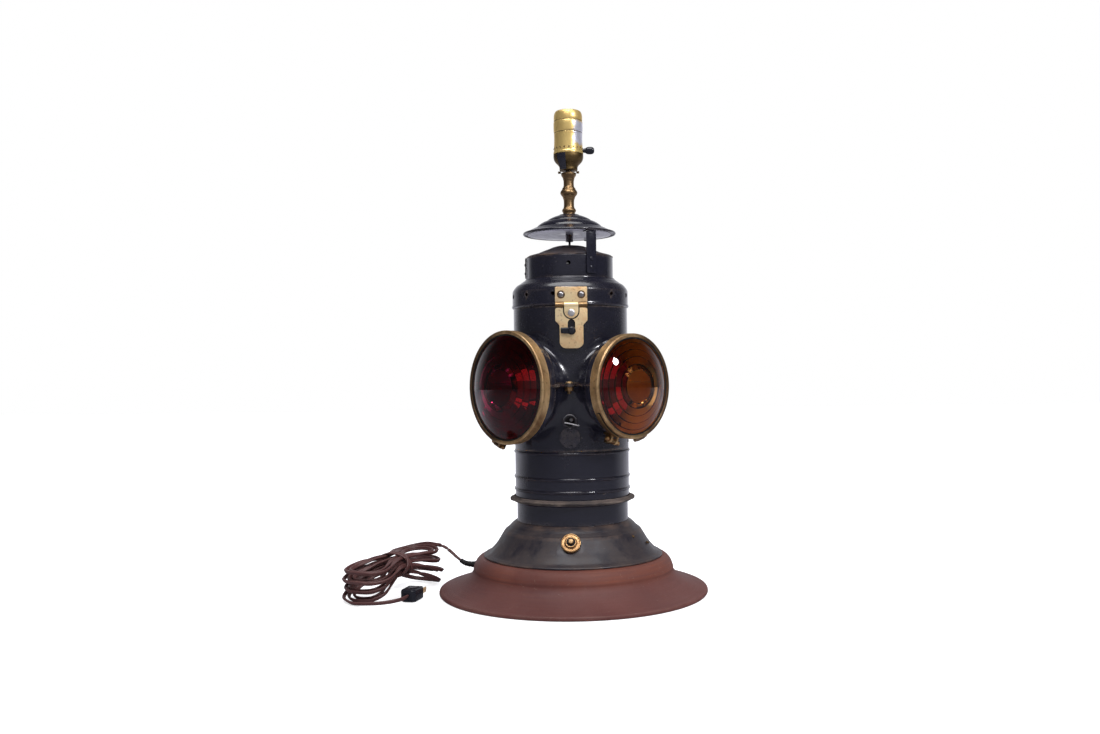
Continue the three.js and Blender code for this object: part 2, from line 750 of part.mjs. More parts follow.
function chimney() {
  const holes = Array.from({ length: drumHoleCount }, (_, i) => {
    const hole = towardsFront(rod(drumHoleRadius, drumRadius - overrun, drumRadius + overrun, 6));
    return solid(hole.rotateZ((i / drumHoleCount) * 2 * Math.PI).translate(0, 0, drumFoot + drumHoleShare * drumHeight));
  });
  addPart("chimney_drum", cut(tube(drumRadius, drumRadius - sheetWall, drumFoot, drumTop, mediumSides), holes), japan());
  const roof = sheet(spread(roofShares, roofOpening, drumRadius, roofFoot, roofFoot + roofHeight), sheetWall);
  addPart("drum_roof", solid(turned(roof, mediumSides)), japan());
}

const baffleFoot = capFoot + baffleLift;
const tabTop = baffleFoot - gap;

function capStrap(name, angle) {
  const group = new THREE.Group();
  group.rotation.z = rad(angle);
  lamp.add(group);
  const half = [-strapWidth / 2, strapWidth / 2];
  const [back, front] = [drumRadius + gap, drumRadius + gap + strapThickness];
  const bottom = drumTop - strapOverlap;
  const rivets = strapRivetShares.map((share) => {
    const rivet = towardsFront(domed(strapRivetRadius, strapThickness, thinSides));
    return rivet.translate(0, gap - front, bottom + share * strapOverlap);
  });
  const shape = [
    block(half, [-front, -back], [bottom, tabTop]),
    block(half, [-front, strapTab - front], [tabTop - strapThickness, tabTop]),
    ...rivets,
  ];
  addPart(name, union(shape.map(solid)), japan(), group);
}

function smokeCap() {
  const profile = spread(capShares, pipeFit, capRadius, capFoot, capTop);
  addPart("smoke_cap", solid(turned(sheet(profile, sheetWall), broadSides)), japan());
  const baffle = tube(baffleRadius, pipeFit, baffleFoot, baffleFoot + baffleThickness, mediumSides);
  addPart("cap_baffle", baffle, finish(0xb4b2b8, 0.7, 0.2));
  const nutTop = baffleFoot - gap;
  addPart("cap_nut", tube(capNutRadius, pipeFit, nutTop - capNutHeight, nutTop, 6, smallSides), steel());
}

const pipeFoot = capFoot - pipeDrop;
const pipeTop = pipeFoot + pipeLength;

function pipeAndWire() {
  addPart("threaded_pipe", tube(pipeRadius, pipeBore, pipeFoot, pipeTop, smallSides), steel());
  const wireTop = shellFoot - coreDrop - gap;
  addPart("socket_wire", solid(rod(wireRadius, wireTop - wireLength, wireTop, 8)), phenolic());
}

function neck() {
  const profile = spread(neckProfileShares, 0, neckBeadRadius, neckFoot, neckFoot + neckLength);
  addPart("neck", solid(turned(bored(profile, pipeFit), smallSides)), copper());
  const high = saddleFoot + saddleThickness;
  const ears = block([-earReach, earReach], [-earWidth / 2, earWidth / 2], [saddleFoot, high]);
  const bore = rod(pipeFit, saddleFoot - overrun, high + overrun);
  const washer = solid(rod(saddleRadius, saddleFoot, high)).add(solid(ears)).subtract(solid(bore));
  addPart("saddle_washer", washer, agedBrass());
}

const keyHeight = shellFoot + keyLift;
const coreFoot = shellFoot - coreDrop;
const coreTop = coreFoot + coreHeight;

function socketCap() {
  const cup = spread(socketCapShares, 0, socketRadius, socketCapFoot, socketCapFoot + socketCapHeight);
  addPart("socket_cap", solid(turned(sheet([[pipeFit, socketCapFoot], ...cup], socketWall), smallSides)), agedBrass());
}

function socketShell() {
  const profile = sheet(spread(shellShares, 0, socketRadius, shellFoot, shellFoot + shellHeight), socketWall);
  const keyHole = alongX(rod(keyStemRadius + gap, coreRadius, socketRadius + overrun, thinSides));
  const shell = solid(turned(profile, smallSides)).subtract(solid(keyHole.translate(0, 0, keyHeight)));
  addPart("socket_shell", shell, brightBrass());
}

function socketCore() {
  const flangeFoot = shellFoot + gap;
  const profile = [
    [0, coreFoot],
    [coreRadius, coreFoot],
    [coreRadius, flangeFoot],
    [coreFlangeRadius, flangeFoot],
    [coreFlangeRadius, flangeFoot + coreFlangeHeight],
    [coreRadius, flangeFoot + coreFlangeHeight],
    [coreRadius, coreTop],
    [contactRadius, coreTop],
    [contactRadius, coreTop + contactHeight],
    [0, coreTop + contactHeight],
  ];
  const keyHole = alongX(rod(keyStemRadius + gap, keyStemStart - gap, socketRadius, thinSides));
  const core = solid(turned(profile, smallSides)).subtract(solid(keyHole.translate(0, 0, keyHeight)));
  addPart("socket_core", core, phenolic());
  const [low, high] = [coreTop + gap, coreTop + gap + screwHeight];
  addPart("screw_shell", tube(screwRadius, screwBore, low, high, smallSides), brass());
}

function socketKey() {
  const knobEnd = keyKnobStart + keyKnobLength;
  const knob = [[0, keyKnobStart], ...spread(keyKnobShares, 0, keyKnobRadius, keyKnobStart, knobEnd)];
  const paddle = turned(knob, thinSides).scale(1, keyFlatShare, 1);
  const pieces = [rod(keyStemRadius, keyStemStart, keyKnobStart + 2 * gap, thinSides), paddle];
  const key = union(pieces.map(alongX).map(solid));
  const group = new THREE.Group();
  group.position.z = keyHeight;
  lamp.add(group);
  addPart("socket_key", key, phenolic(), group);
}

// The hasp hangs from a pin in front of the lid's lower edge
const haspGroup = new THREE.Group();
haspGroup.rotation.z = rad(haspAngle);
lamp.add(haspGroup);
const plateFront = lidRadius + gap + haspPlateThickness;
const haspPinY = lidRadius + gap + haspKnuckleRadius;
const haspPinZ = lidFoot + gap;
const acrossHasp = (radius, [from, to], sides) => alongX(rod(radius, from, to, sides)).translate(0, -haspPinY, haspPinZ);
const haspHalf = haspWidth / 2;
const centreHalf = haspCentreWidth / 2;

function haspPlate() {
  const outer = [[centreHalf + gap, haspHalf], [-haspHalf, -centreHalf - gap]];
  const foot = haspPinZ + haspKnuckleRadius + gap;
  const plate = block([-haspHalf, haspHalf], [-plateFront, -bodyRadius * 0.9], [foot, foot + haspPlateHeight]);
  const webs = outer.map((place) => block(place, [-plateFront, -lidRadius], [haspPinZ, foot + gap]));
  const rivets = [-1, 1].map((side) => {
    const rivet = towardsFront(domed(haspRivetRadius, haspRivetHeight));
    return rivet.translate((side * haspRivetSpacing) / 2, gap - plateFront, foot + haspPlateHeight / 2);
  });
  const knuckles = outer.map((place) => acrossHasp(haspKnuckleRadius, place));
  const shape = union([plate, ...webs, ...rivets, ...knuckles].map(solid));
  const band = rod(lidRadius + gap, lidFoot - overrun, lidTop + overrun, 2 * broadSides);
  const tools = [band, acrossHasp(haspBore, [-haspWidth, haspWidth])];
  addPart("hasp_plate", cut(shape, tools.map(solid)), brass(), haspGroup);
  addPart("hasp_pin", solid(acrossHasp(haspPinRadius, [-haspHalf, haspHalf], thinSides)), agedBrass(), haspGroup);
}

// The leaf's outline, with y = 0 at the pin and the leaf hanging down
function leafOutline() {
  const [tip, neckPlace] = [leafTipWidth / 2, leafNeckShare * leafLength];
  const outline = new THREE.Shape();
  outline.moveTo(-haspHalf, -haspKnuckleRadius - gap);
  outline.lineTo(-haspHalf, -neckPlace);
  outline.lineTo(-tip, -neckPlace - (haspHalf - tip));
  outline.lineTo(-tip, leafTipCut - leafLength);
  outline.lineTo(leafTipCut - tip, -leafLength);
  outline.lineTo(tip - leafTipCut, -leafLength);
  outline.lineTo(tip, leafTipCut - leafLength);
  outline.lineTo(tip, -neckPlace - (haspHalf - tip));
  outline.lineTo(haspHalf, -neckPlace);
  outline.lineTo(haspHalf, -haspKnuckleRadius - gap);
  outline.closePath();
  const slot = new THREE.Path();
  const slotHalf = slotWidth / 2;
  const [top, foot] = [slotTopShare * leafLength + slotHalf, slotFootShare * leafLength - slotHalf];
  slot.absarc(0, -top, slotHalf, 0, Math.PI, false);
  slot.absarc(0, -foot, slotHalf, Math.PI, 2 * Math.PI, false);
  slot.closePath();
  outline.holes.push(slot);
  return outline;
}

const catchDrop = slotFootShare * leafLength - slotWidth / 2;

function haspLeaf() {
  const extrude = (outline, depth) => new THREE.ExtrudeGeometry(outline, { depth, bevelEnabled: false, curveSegments: 5 });
  const upright = (geometry, back) => geometry.rotateX(quarter).translate(0, -back, haspPinZ);
  const back = haspPinY - leafThickness / 2;
  const front = back + leafThickness;
  const tongue = new THREE.Shape();
  tongue.moveTo(centreHalf, 0);
  tongue.lineTo(centreHalf, centreHalf - tongueLength);
  tongue.absarc(0, centreHalf - tongueLength, centreHalf, 0, -Math.PI, true);
  tongue.lineTo(-centreHalf, 0);
  tongue.closePath();
  const rivet = domed(leafRivetRadius, leafRivetHeight).translate(0, -leafRivetDrop, 0);
  const pieces = [
    upright(extrude(leafOutline(), leafThickness), back),
    upright(extrude(tongue, tongueThickness + gap), front - gap),
    upright(rivet, front + tongueThickness - gap),
    acrossHasp(haspKnuckleRadius, [-centreHalf, centreHalf]),
  ];
  const leaf = union(pieces.map(solid)).subtract(solid(acrossHasp(haspBore, [-haspWidth, haspWidth])));
  addPart("hasp_leaf", leaf, brass(), haspGroup);
  const pivot = new THREE.Group();
  pivot.position.set(0, -back, haspPinZ - catchDrop);
  pivot.rotation.x = quarter;
  haspGroup.add(pivot);
  const lever = block([-catchLeverLength, 0], [-catchLeverWidth / 2, catchLeverWidth / 2], [0, catchLeverThickness]);
  const leverFoot = leafThickness + gap;
  const hub = rod(catchHubRadius, leverFoot, catchHubLength);
  const shaft = rod(slotWidth / 2 - gap, 0, leverFoot + gap);
  const catchPieces = [lever.translate(0, 0, leverFoot), hub, shaft];
  addPart("turn_catch", union(catchPieces.map(solid)), phenolic(), pivot);
}

// The lid's hinge, on the far side from the hasp
function lidHinge() {
  const pinY = lidRadius + gap + lidLeafThickness + haspKnuckleRadius / 2;
  const half = lidHingeWidth / 2;
  const centre = lidHingeCentreWidth / 2;
  const across = (radius, [from, to], sides) => alongX(rod(radius, from, to, sides)).translate(0, pinY, lidFoot);
  const leafBack = lidRadius * 0.9;
  const clearOf = (radius) => rod(radius + gap, bodyFoot, lidTop, 2 * broadSides);
  const bore = across(haspBore, [-lidHingeWidth, lidHingeWidth]);
  const lidSide = [
    block([-half, half], [leafBack, lidRadius + gap + lidLeafThickness], [lidFoot + haspKnuckleRadius + gap, lidFoot + lidLeafHeight]),
    block([-centre, centre], [leafBack, pinY], [lidFoot + gap, lidFoot + haspKnuckleRadius + 2 * gap]),
    across(haspKnuckleRadius, [-centre, centre]),
  ];
  addPart("lid_hinge_leaf", cut(union(lidSide.map(solid)), [clearOf(lidRadius), bore].map(solid)), japan());
  const outer = [[centre + gap, half], [-half, -centre - gap]];
  const wall = bodyRadius + gap + lidLeafThickness;
  const bodySide = [
    block([-half, half], [leafBack, wall], [lidFoot - bodyLeafHeight, lidFoot - haspKnuckleRadius - gap]),
    ...outer.map((place) => block(place, [leafBack, pinY], [lidFoot - haspKnuckleRadius - 2 * gap, lidFoot - 2 * gap])),
    ...outer.map((place) => across(haspKnuckleRadius, place)),
  ];
  const bodyTools = [clearOf(bodyRadius), bore, rod(lidRadius + gap, lidFoot - 2 * gap, lidTop, 2 * broadSides)];
  addPart("body_hinge_leaf", cut(union(bodySide.map(solid)), bodyTools.map(solid)), japan());
  addPart("lid_hinge_pin", solid(across(haspPinRadius, [-half, half], thinSides)), steel());
}

function baseSwitch() {
  const group = switchGroup();
  lamp.add(group);
  const bodyFront = -switchBodySetback;
  const bodyBack = bodyFront - switchBodyLength;
  const pieces = [rod(switchBodyRadius, bodyBack, bodyFront), rod(switchStemRadius, bodyFront - gap, switchStemLength)];
  const boreFoot = switchStemLength + buttonProud - buttonLength - overrun / 2;
  const bore = rod(switchBore, boreFoot, switchStemLength + overrun);
  addPart("switch_body", union(pieces.map(solid)).subtract(solid(bore)), phenolic(), group);
  const [nutFoot, nutTop] = [switchNutStandoff, switchNutStandoff + switchNutHeight];
  const profile = spread(switchNutShares, 0, switchNutRadius, nutFoot, nutTop);
  addPart("switch_nut", solid(turned(bored(profile, switchStemRadius + gap), smallSides)), copper(), group);
  const top = switchStemLength + buttonProud;
  addPart("switch_button", solid(rod(buttonRadius, top - buttonLength, top)), copper(), group);
}

function innerLamp() {
  const foot = domeTop + gap;
  const postFoot = foot + holderFlangeHeight;
  const cupFoot = postFoot + holderPostHeight;
  const cupTop = cupFoot + holderCupHeight;
  const cupFloor = cupTop - holderCupDepth;
  const profile = [
    [0, foot],
    [holderFlangeRadius, foot],
    [holderFlangeRadius, postFoot],
    [holderPostRadius, postFoot],
    [holderPostRadius, cupFoot],
    [holderCupRadius, cupFoot + holderPostRadius],
    [holderCupRadius, cupTop],
    [holderCupBore, cupTop],
    [holderCupBore, cupFloor],
    [0, cupFloor],
  ];
  addPart("inner_lampholder", solid(turned(profile, smallSides)), phenolic());
  const bulbFoot = cupFloor + gap;
  const bulb = spread(bulbShares, 0, bulbRadius, bulbFoot, bulbFoot + bulbLength);
  addPart("inner_bulb", solid(turned([[0, bulbFoot], ...bulb], smallSides)), clearGlass());
}

function bushing() {
  const group = new THREE.Group();
  group.position.z = bushingHeight;
  group.rotation.z = rad(bushingAngle);
  lamp.add(group);
  const face = baseSideRadius + gap;
  const pieces = [
    rod(bushingRadius, face, face + bushingFlange, thinSides),
    rod(bushingStemRadius, face - bushingStemLength, face + gap, thinSides),
  ];
  addPart("cord_bushing", union(pieces.map(alongX).map(solid)), phenolic(), group);
}

function onHank(a, b, z) {
  const [hs, hc] = [Math.sin(rad(hankHeading)), Math.cos(rad(hankHeading))];
  return new THREE.Vector3(hankCentre[0] + a * hc + b * hs, hankCentre[1] + a * hs - b * hc, z);
}

// The hank's centre line at an angle that runs on through all its loops: a pinched oval,
// moved out square to itself by one step a loop, then in again one layer lower
function hankPoint(angle) {
  const [s, c] = [Math.sin(rad(angle)), Math.cos(rad(angle))];
  const pinch = hankPinchShare * c * c;
  const heading = new THREE.Vector2(hankHalfLength * c, hankHalfWidth * s * (3 * pinch - 1)).normalize();
  const out = Math.abs(((angle / hankLayerAngle) % 2) - 1) * (hankLayerAngle / 360) * hankStep;
  const a = s * hankHalfLength - heading.y * out;
  const b = c * hankHalfWidth * (1 - pinch) + heading.x * out;
  const drop = (k) => THREE.MathUtils.smootherstep(angle, k * hankLayerAngle - 90, k * hankLayerAngle + 90);
  const height = hankLayers - 1 - hankTurnBacks.reduce((sum, k) => sum + drop(k), 0);
  const fan = (a > 0 ? hankRearFan : hankFrontFan) * (Math.abs(a) / hankReach) ** hankSpread;
  const lift = hankLift * Math.max(0, 1 - (a / hankReach) ** 2) ** 2;
  return onHank(a, b, cordRest + height * (hankWaistStep + fan) + lift);
}

const cordRest = cordDiameter / 2 + gap;
const hankReach = hankHalfLength + (hankLayerAngle / 360) * hankStep;
const hankTurnBacks = Array.from({ length: hankLayers - 1 }, (_, i) => i + 1);
const plugTurn = new THREE.Vector3(Math.cos(rad(plugHeading)), Math.sin(rad(plugHeading)), 0);
const plugBack = new THREE.Vector3(plugCentre[0], plugCentre[1], plugHeight / 2).addScaledVector(plugTurn, -plugLength / 2);

function hankRoute() {
  const step = 360 / hankStepsPerLoop;
  const count = Math.floor((hankEndAngle - hankStartAngle) / step);
  const loops = Array.from({ length: count + 1 }, (_, i) => hankPoint(hankStartAngle + i * step));
  const end = plugBack.clone().addScaledVector(plugTurn, -gap);
  const tail = plugRoute.map((place) => onHank(...place));
  return [...loops, ...tail, end.clone().addScaledVector(plugTurn, -cordDiameter), end];
}

function stretchPoints(hankStart, hankTurn) {
  const out = new THREE.Vector3(Math.cos(rad(bushingAngle)), Math.sin(rad(bushingAngle)), 0);
  const start = out.clone().multiplyScalar(baseSideRadius + gap + bushingFlange + gap).setZ(bushingHeight);
  const end = hankStart.clone().addScaledVector(hankTurn, -gap);
  return [
    start,
    start.clone().addScaledVector(out, cordDiameter),
    ...stretchRoute.map((place) => new THREE.Vector3(...place)),
    end.clone().addScaledVector(hankTurn, -cordDiameter),
    end,
  ];
}

function cordTube(curve, steps, sides) {
  const section = new THREE.Shape(
    Array.from({ length: sides }, (_, i) => {
      const angle = (i / sides) * 2 * Math.PI;
      return new THREE.Vector2(Math.cos(angle), Math.sin(angle)).multiplyScalar(cordDiameter / 2);
    }),
  );
  return solid(new THREE.ExtrudeGeometry(section, { steps, extrudePath: curve, bevelEnabled: false }));
}

function smoothCurve(points, steps) {
  const curve = new THREE.CatmullRomCurve3(points, false, "centripetal");
  curve.arcLengthDivisions = 12 * steps;
  return curve;
}

// The least room between two places on the cord that are a few diameters apart along it
function leastGap(points) {
  const along = points.map(() => 0);
  points.forEach((point, i) => {
    if (i > 0) along[i] = along[i - 1] + point.distanceTo(points[i - 1]);
  });
  let least = Infinity;
  points.forEach((point, i) => {
    for (let j = i + 1; j < points.length; j += 1) {
      if (along[j] - along[i] > 4 * cordDiameter) least = Math.min(least, point.distanceTo(points[j]));
    }
  });
  return { least: least - cordDiameter, length: along[along.length - 1] };
}

function cord() {
  const route = hankRoute();
  const hankSteps = route.length + 4;
  const hank = smoothCurve(route, hankSteps);
  const stretch = smoothCurve(stretchPoints(hank.getPoint(0), hank.getTangent(0)), stretchSteps);
  addPart("cord_stretch", cordTube(stretch, stretchSteps, cordSides), brownCord());
  addPart("cord_hank", cordTube(hank, hankSteps, hankSides), brownCord());
  const fine = [...stretch.getSpacedPoints(20 * stretchSteps), ...hank.getSpacedPoints(20 * hankSteps)];
  const { least, length } = leastGap(fine);
  console.log(`cord: least self-gap ${least.toFixed(2)} mm, length ${length.toFixed(0)} mm`);
}

function plug() {
  const half = plugWidth / 2;
  const nose = plugLength / 2;
  const outline = new THREE.Shape();
  outline.moveTo(-nose, -half + plugChamfer);
  outline.lineTo(-nose + plugChamfer, -half);
  outline.lineTo(nose, -half);
  outline.lineTo(nose, half);
  outline.lineTo(-nose + plugChamfer, half);
  outline.lineTo(-nose, half - plugChamfer);
  outline.closePath();
  const body = new THREE.ExtrudeGeometry(outline, { depth: plugHeight, bevelEnabled: false });
  const blades = [-1, 1].map((side) => {
    const middle = (side * bladeSpacing) / 2;
    const across = [middle - bladeThickness / 2, middle + bladeThickness / 2];
    const upDown = [(plugHeight - bladeWidth) / 2, (plugHeight + bladeWidth) / 2];
    return block([nose - gap, nose + bladeLength], across, upDown);
  });
  const group = new THREE.Group();
  group.position.set(plugCentre[0], plugCentre[1], 0);
  group.rotation.z = rad(plugHeading);
  lamp.add(group);
  addPart("plug", union([body, ...blades].map(solid)), phenolic(), group);
}

woodBase();
basePlate();
lowerCase();
dripRing();
lensBody();
seamBolt("front", -1);
seamBolt("rear", 1);
peepCover();
doors.forEach(lensDoor);
lidShell();
chimney();
Object.entries(strapAngles).forEach(([name, angle]) => capStrap(name, angle));
smokeCap();
pipeAndWire();
neck();
socketCap();
socketShell();
socketCore();
socketKey();
haspPlate();
haspLeaf();
lidHinge();
baseSwitch();
innerLamp();
bushing();
cord();
plug();

export default lamp;
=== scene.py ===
import json
import math

import bmesh
import bpy
import numpy as np
from mathutils import Matrix, Vector


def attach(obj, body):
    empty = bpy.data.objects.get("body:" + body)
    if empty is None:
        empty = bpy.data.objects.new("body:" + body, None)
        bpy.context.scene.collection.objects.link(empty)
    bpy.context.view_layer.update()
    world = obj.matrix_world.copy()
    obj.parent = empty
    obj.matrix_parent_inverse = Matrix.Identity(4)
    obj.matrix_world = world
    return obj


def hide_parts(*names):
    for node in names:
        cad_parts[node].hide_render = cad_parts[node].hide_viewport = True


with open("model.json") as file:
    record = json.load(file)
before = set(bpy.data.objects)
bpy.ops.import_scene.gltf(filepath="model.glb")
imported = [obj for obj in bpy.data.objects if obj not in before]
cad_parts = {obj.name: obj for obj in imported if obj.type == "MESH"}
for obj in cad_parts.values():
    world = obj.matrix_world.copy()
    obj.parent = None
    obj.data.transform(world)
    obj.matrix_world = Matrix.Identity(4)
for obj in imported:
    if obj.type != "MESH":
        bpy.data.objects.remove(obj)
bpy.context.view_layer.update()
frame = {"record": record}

# A railroad switch lamp made into a table lamp. Sizes are in millimetres until a mesh is made.
MM = 0.001
BODY_RADIUS, LID_RADIUS = 71.8, 73
LENS_HEIGHT, SEAM_HEIGHT = 258, 260
STEEL_WALL, BRASS_WALL = 1.2, 0.7
GAP = 0.3
scene = bpy.context.scene
bodies = frame["record"]["behaviour"]["bodies"]
body_of_node = {name: body for body, names in bodies.items() for name in names}


# Places

def shift(x=0, y=0, z=0):
    return np.array(Matrix.Translation((x, y, z)))


def turn(angle, axis="Z"):
    return np.array(Matrix.Rotation(math.radians(angle), 4, axis))


def sin_cos(angle):
    angle = math.radians(angle)
    return math.sin(angle), math.cos(angle)


UPRIGHT = turn(90, "X")      # a shape made flat stands up, its top facing the front
ALONG_X = turn(90, "Y")


def moved(shape, *places):
    points, faces = shape
    place = places[0]
    for more in places[1:]:
        place = place @ more
    points = np.asarray(points, float).reshape(-1, 3)
    return points @ place[:3, :3].T + place[:3, 3], faces


def joined(*shapes):
    points, faces = [], []
    for more, sides in shapes:
        first = len(points)
        points.extend(np.asarray(more, float).reshape(-1, 3).tolist())
        faces.extend([[corner + first for corner in side] for side in sides])
    return np.array(points), faces


# Outlines and profiles

def spread(shares, radius_in, radius_out, low, high):
    return [(radius_in + r * (radius_out - radius_in), low + z * (high - low)) for r, z in shares]


def flowing(points, per=6, closed=False):
    """More points on the centripetal curve through the given ones."""
    points = np.array(points, float)
    if closed:
        before, after = points[-1:], points[:2]
    else:
        before, after = 2 * points[:1] - points[1:2], 2 * points[-1:] - points[-2:-1]
    line = np.vstack([before, points, after])
    made = []
    for p0, p1, p2, p3 in zip(line, line[1:], line[2:], line[3:]):
        d0, d1, d2 = [max(np.linalg.norm(b - a), 1e-9) ** 0.5 for a, b in ((p0, p1), (p1, p2), (p2, p3))]
        t1 = ((p1 - p0) / d0 - (p2 - p0) / (d0 + d1) + (p2 - p1) / d1) * d1
        t2 = ((p2 - p1) / d1 - (p3 - p1) / (d1 + d2) + (p3 - p2) / d2) * d1
        square, cube = 3 * p2 - 3 * p1 - 2 * t1 - t2, 2 * p1 - 2 * p2 + t1 + t2
        for t in np.arange(per) / per:
            made.append(p1 + t1 * t + square * t ** 2 + cube * t ** 3)
    return np.array(made if closed else made + [points[-1]])


def eased(outline, size, steps=3, straight=168):
    """Each corner of a closed outline rounded, corners on the axis left alone."""
    outline = [np.array(point, float) for point in outline]
    made = []
    for i, here in enumerate(outline):
        back, on = outline[i - 1] - here, outline[(i + 1) % len(outline)] - here
        room = 0.45 * min(np.linalg.norm(back), np.linalg.norm(on))
        if abs(here[0]) < 1e-6 or room < 1e-6:
            made.append(here)
            continue
        back, on = back / np.linalg.norm(back), on / np.linalg.norm(on)
        angle = math.acos(max(-1, min(1, float(back @ on))))
        if angle > math.radians(straight):
            made.append(here)
            continue
        trim = min(size / math.tan(angle / 2), room)
        for t in np.arange(steps + 1) / steps:
            made.append(here + back * trim * (1 - t) ** 2 + on * trim * t ** 2)
    return np.array(made)


def offset(outline, distance, closed=True):
    """An outline moved to its left by a distance, square to itself."""
    outline = np.array(outline, float)
    along = np.diff(np.vstack([outline, outline[:1]]), axis=0)
    along /= np.maximum(np.linalg.norm(along, axis=1), 1e-9)[:, None]
    before = np.roll(along, 1, axis=0)
    if not closed:
        before[0], along[-1] = along[0], before[-1]
    left = np.stack([-(along + before)[:, 1], (along + before)[:, 0]], axis=1)
    length = np.maximum(np.linalg.norm(left, axis=1), 1e-9)
    return outline + left / length[:, None] * (distance * np.minimum(2 / length, 1.6))[:, None]


def sheet(profile, wall):
    """A closed profile of thin metal, its outside given from the foot up."""
    inner = offset(profile, wall, closed=False)
    return np.vstack([profile, inner[::-1]])


def circle(radius, steps=24, centre=(0, 0)):
    angles = np.arange(steps) * 2 * math.pi / steps
    return np.stack([centre[0] + radius * np.cos(angles), centre[1] + radius * np.sin(angles)], axis=1)


def oblong(half, low, high, corner, steps=3):
    """An upright oblong with eased corners."""
    return eased([(-half, low), (half, low), (half, high), (-half, high)], corner, steps)


def arc(centre, radius, start, end, steps=12):
    angles = np.radians(np.linspace(start, end, steps + 1))
    return [(centre[0] + radius * math.cos(t), centre[1] + radius * math.sin(t)) for t in angles]


# Solids

def turned(profile, steps=96):
    """A closed profile of (radius, height) turned about Z."""
    angles = np.arange(steps) * 2 * math.pi / steps
    points, rings, faces = [], [], []
    for radius, height in profile:
        first = len(points)
        if radius < 1e-6:
            points.append((0, 0, height))
            rings.append([first] * steps)
        else:
            points.extend((radius * math.cos(t), radius * math.sin(t), height) for t in angles)
            rings.append(list(range(first, first + steps)))
    for low, high in zip(rings, rings[1:] + rings[:1]):
        for k in range(steps):
            m = (k + 1) % steps
            corners = list(dict.fromkeys([low[k], low[m], high[m], high[k]]))
            if len(corners) > 2:
                faces.append(corners)
    return np.array(points), faces


def rod(radius, low, high, ease=0.3, steps=32):
    return turned(eased([(0, low), (radius, low), (radius, high), (0, high)], ease), steps)


def tube(radius, bore, low, high, ease=0.3, steps=64):
    return turned(eased([(bore, low), (radius, low), (radius, high), (bore, high)], ease), steps)


def domed(radius, low, high, steps=32):
    """A rivet's or screw's head."""
    rise = high - low
    shoulder = [(radius * 0.97, low + 0.35 * rise), (radius * 0.62, low + 0.85 * rise)]
    return turned([(0, low), *flowing([(radius, low), *shoulder, (0, high)], 4)], steps)


def stacked(rings, closed=False):
    """Rings of equal counts joined in order, with flat ends unless closed."""
    count = len(rings[0])
    points = np.vstack(rings)
    faces = []
    pairs = list(range(len(rings) - 1)) + ([len(rings) - 1] if closed else [])
    for i in pairs:
        low, high = i * count, ((i + 1) % len(rings)) * count
        for k in range(count):
            m = (k + 1) % count
            faces.append([low + k, low + m, high + m, high + k])
    if not closed:
        faces.append(list(range(count))[::-1])
        faces.append([len(points) - count + k for k in range(count)])
    return points, faces


def slab(outline, low, high, ease=0.3, steps=2):
    """A plate of the outline, from low to high, with eased edges."""
    outline = np.array(outline, float)
    quarter = np.linspace(0, math.pi / 2, steps + 1)
    lift = [(ease * (1 - math.sin(a)), ease * (1 - math.cos(a))) for a in quarter]
    levels = [(inset, low + rise) for inset, rise in lift]
    levels += [(inset, high - rise) for inset, rise in lift[::-1]]
    rings = []
    for inset, height in levels:
        ring = offset(outline, inset)
        rings.append(np.column_stack([ring, np.full(len(ring), height)]))
    return stacked(rings)


def block(x, y, z, ease=0.4, corner=0.5):
    outline = eased([(x[0], y[0]), (x[1], y[0]), (x[1], y[1]), (x[0], y[1])], corner)
    return slab(outline, z[0], z[1], ease)


def swept(path, section, sides, closed=False):
    """A section (across, thick) along a path; sides gives the thin direction at each point."""
    path, sides = np.array(path, float), np.array(sides, float)
    ahead = np.roll(path, -1, axis=0) - np.roll(path, 1, axis=0)
    if not closed:
        ahead[0], ahead[-1] = path[1] - path[0], path[-1] - path[-2]
    ahead /= np.linalg.norm(ahead, axis=1)[:, None]
    thin = sides - ahead * (sides * ahead).sum(1)[:, None]
    thin /= np.linalg.norm(thin, axis=1)[:, None]
    wide = np.cross(ahead, thin)
    rings = []
    for i, (here, w, t) in enumerate(zip(path, wide, thin)):
        shape = section(i) if callable(section) else section
        rings.append(np.array([here + a * w + b * t for a, b in shape]))
    return stacked(rings, closed)


# Meshes and pieces

def mesh_of(name, shape):
    points, faces = shape
    mesh = bpy.data.meshes.new(name)
    mesh.from_pydata((np.asarray(points, float) * MM).tolist(), [], faces)
    work = bmesh.new()
    work.from_mesh(mesh)
    bmesh.ops.remove_doubles(work, verts=work.verts, dist=2e-6)
    bmesh.ops.recalc_face_normals(work, faces=work.faces)
    work.to_mesh(mesh)
    work.free()
    return placed(name, mesh)


def placed(name, data):
    """An object for the mesh, camera or light, put in the scene."""
    obj = bpy.data.objects.new(name, data)
    scene.collection.objects.link(obj)
    return obj


def settled(obj):
    """The object's modifiers become plain mesh."""
    bpy.context.view_layer.update()
    mesh = bpy.data.meshes.new_from_object(obj.evaluated_get(bpy.context.evaluated_depsgraph_get()))
    obj.modifiers.clear()
    obj.data = mesh
    return obj


def cut_from(obj, *shapes):
    """Shapes cut out of an object's mesh."""
    tool = mesh_of("cutter", joined(*shapes))
    step = obj.modifiers.new("cut", "BOOLEAN")
    step.operation, step.solver, step.object = "DIFFERENCE", "EXACT", tool
    settled(obj)
    bpy.data.objects.remove(tool)
    return obj


def piece(obj, finish, *nodes, body=None, sharp=32):
    """A finished piece: its material, its body, and the solids that it stands for."""
    obj.data.materials.clear()
    obj.data.materials.append(finishes[finish][0])
    obj.data.polygons.foreach_set("use_smooth", [True] * len(obj.data.polygons))
    obj.data.set_sharp_from_angle(angle=math.radians(sharp))
    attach(obj, body or body_of_node[nodes[0]])
    if nodes:
        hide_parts(*nodes)
    return obj


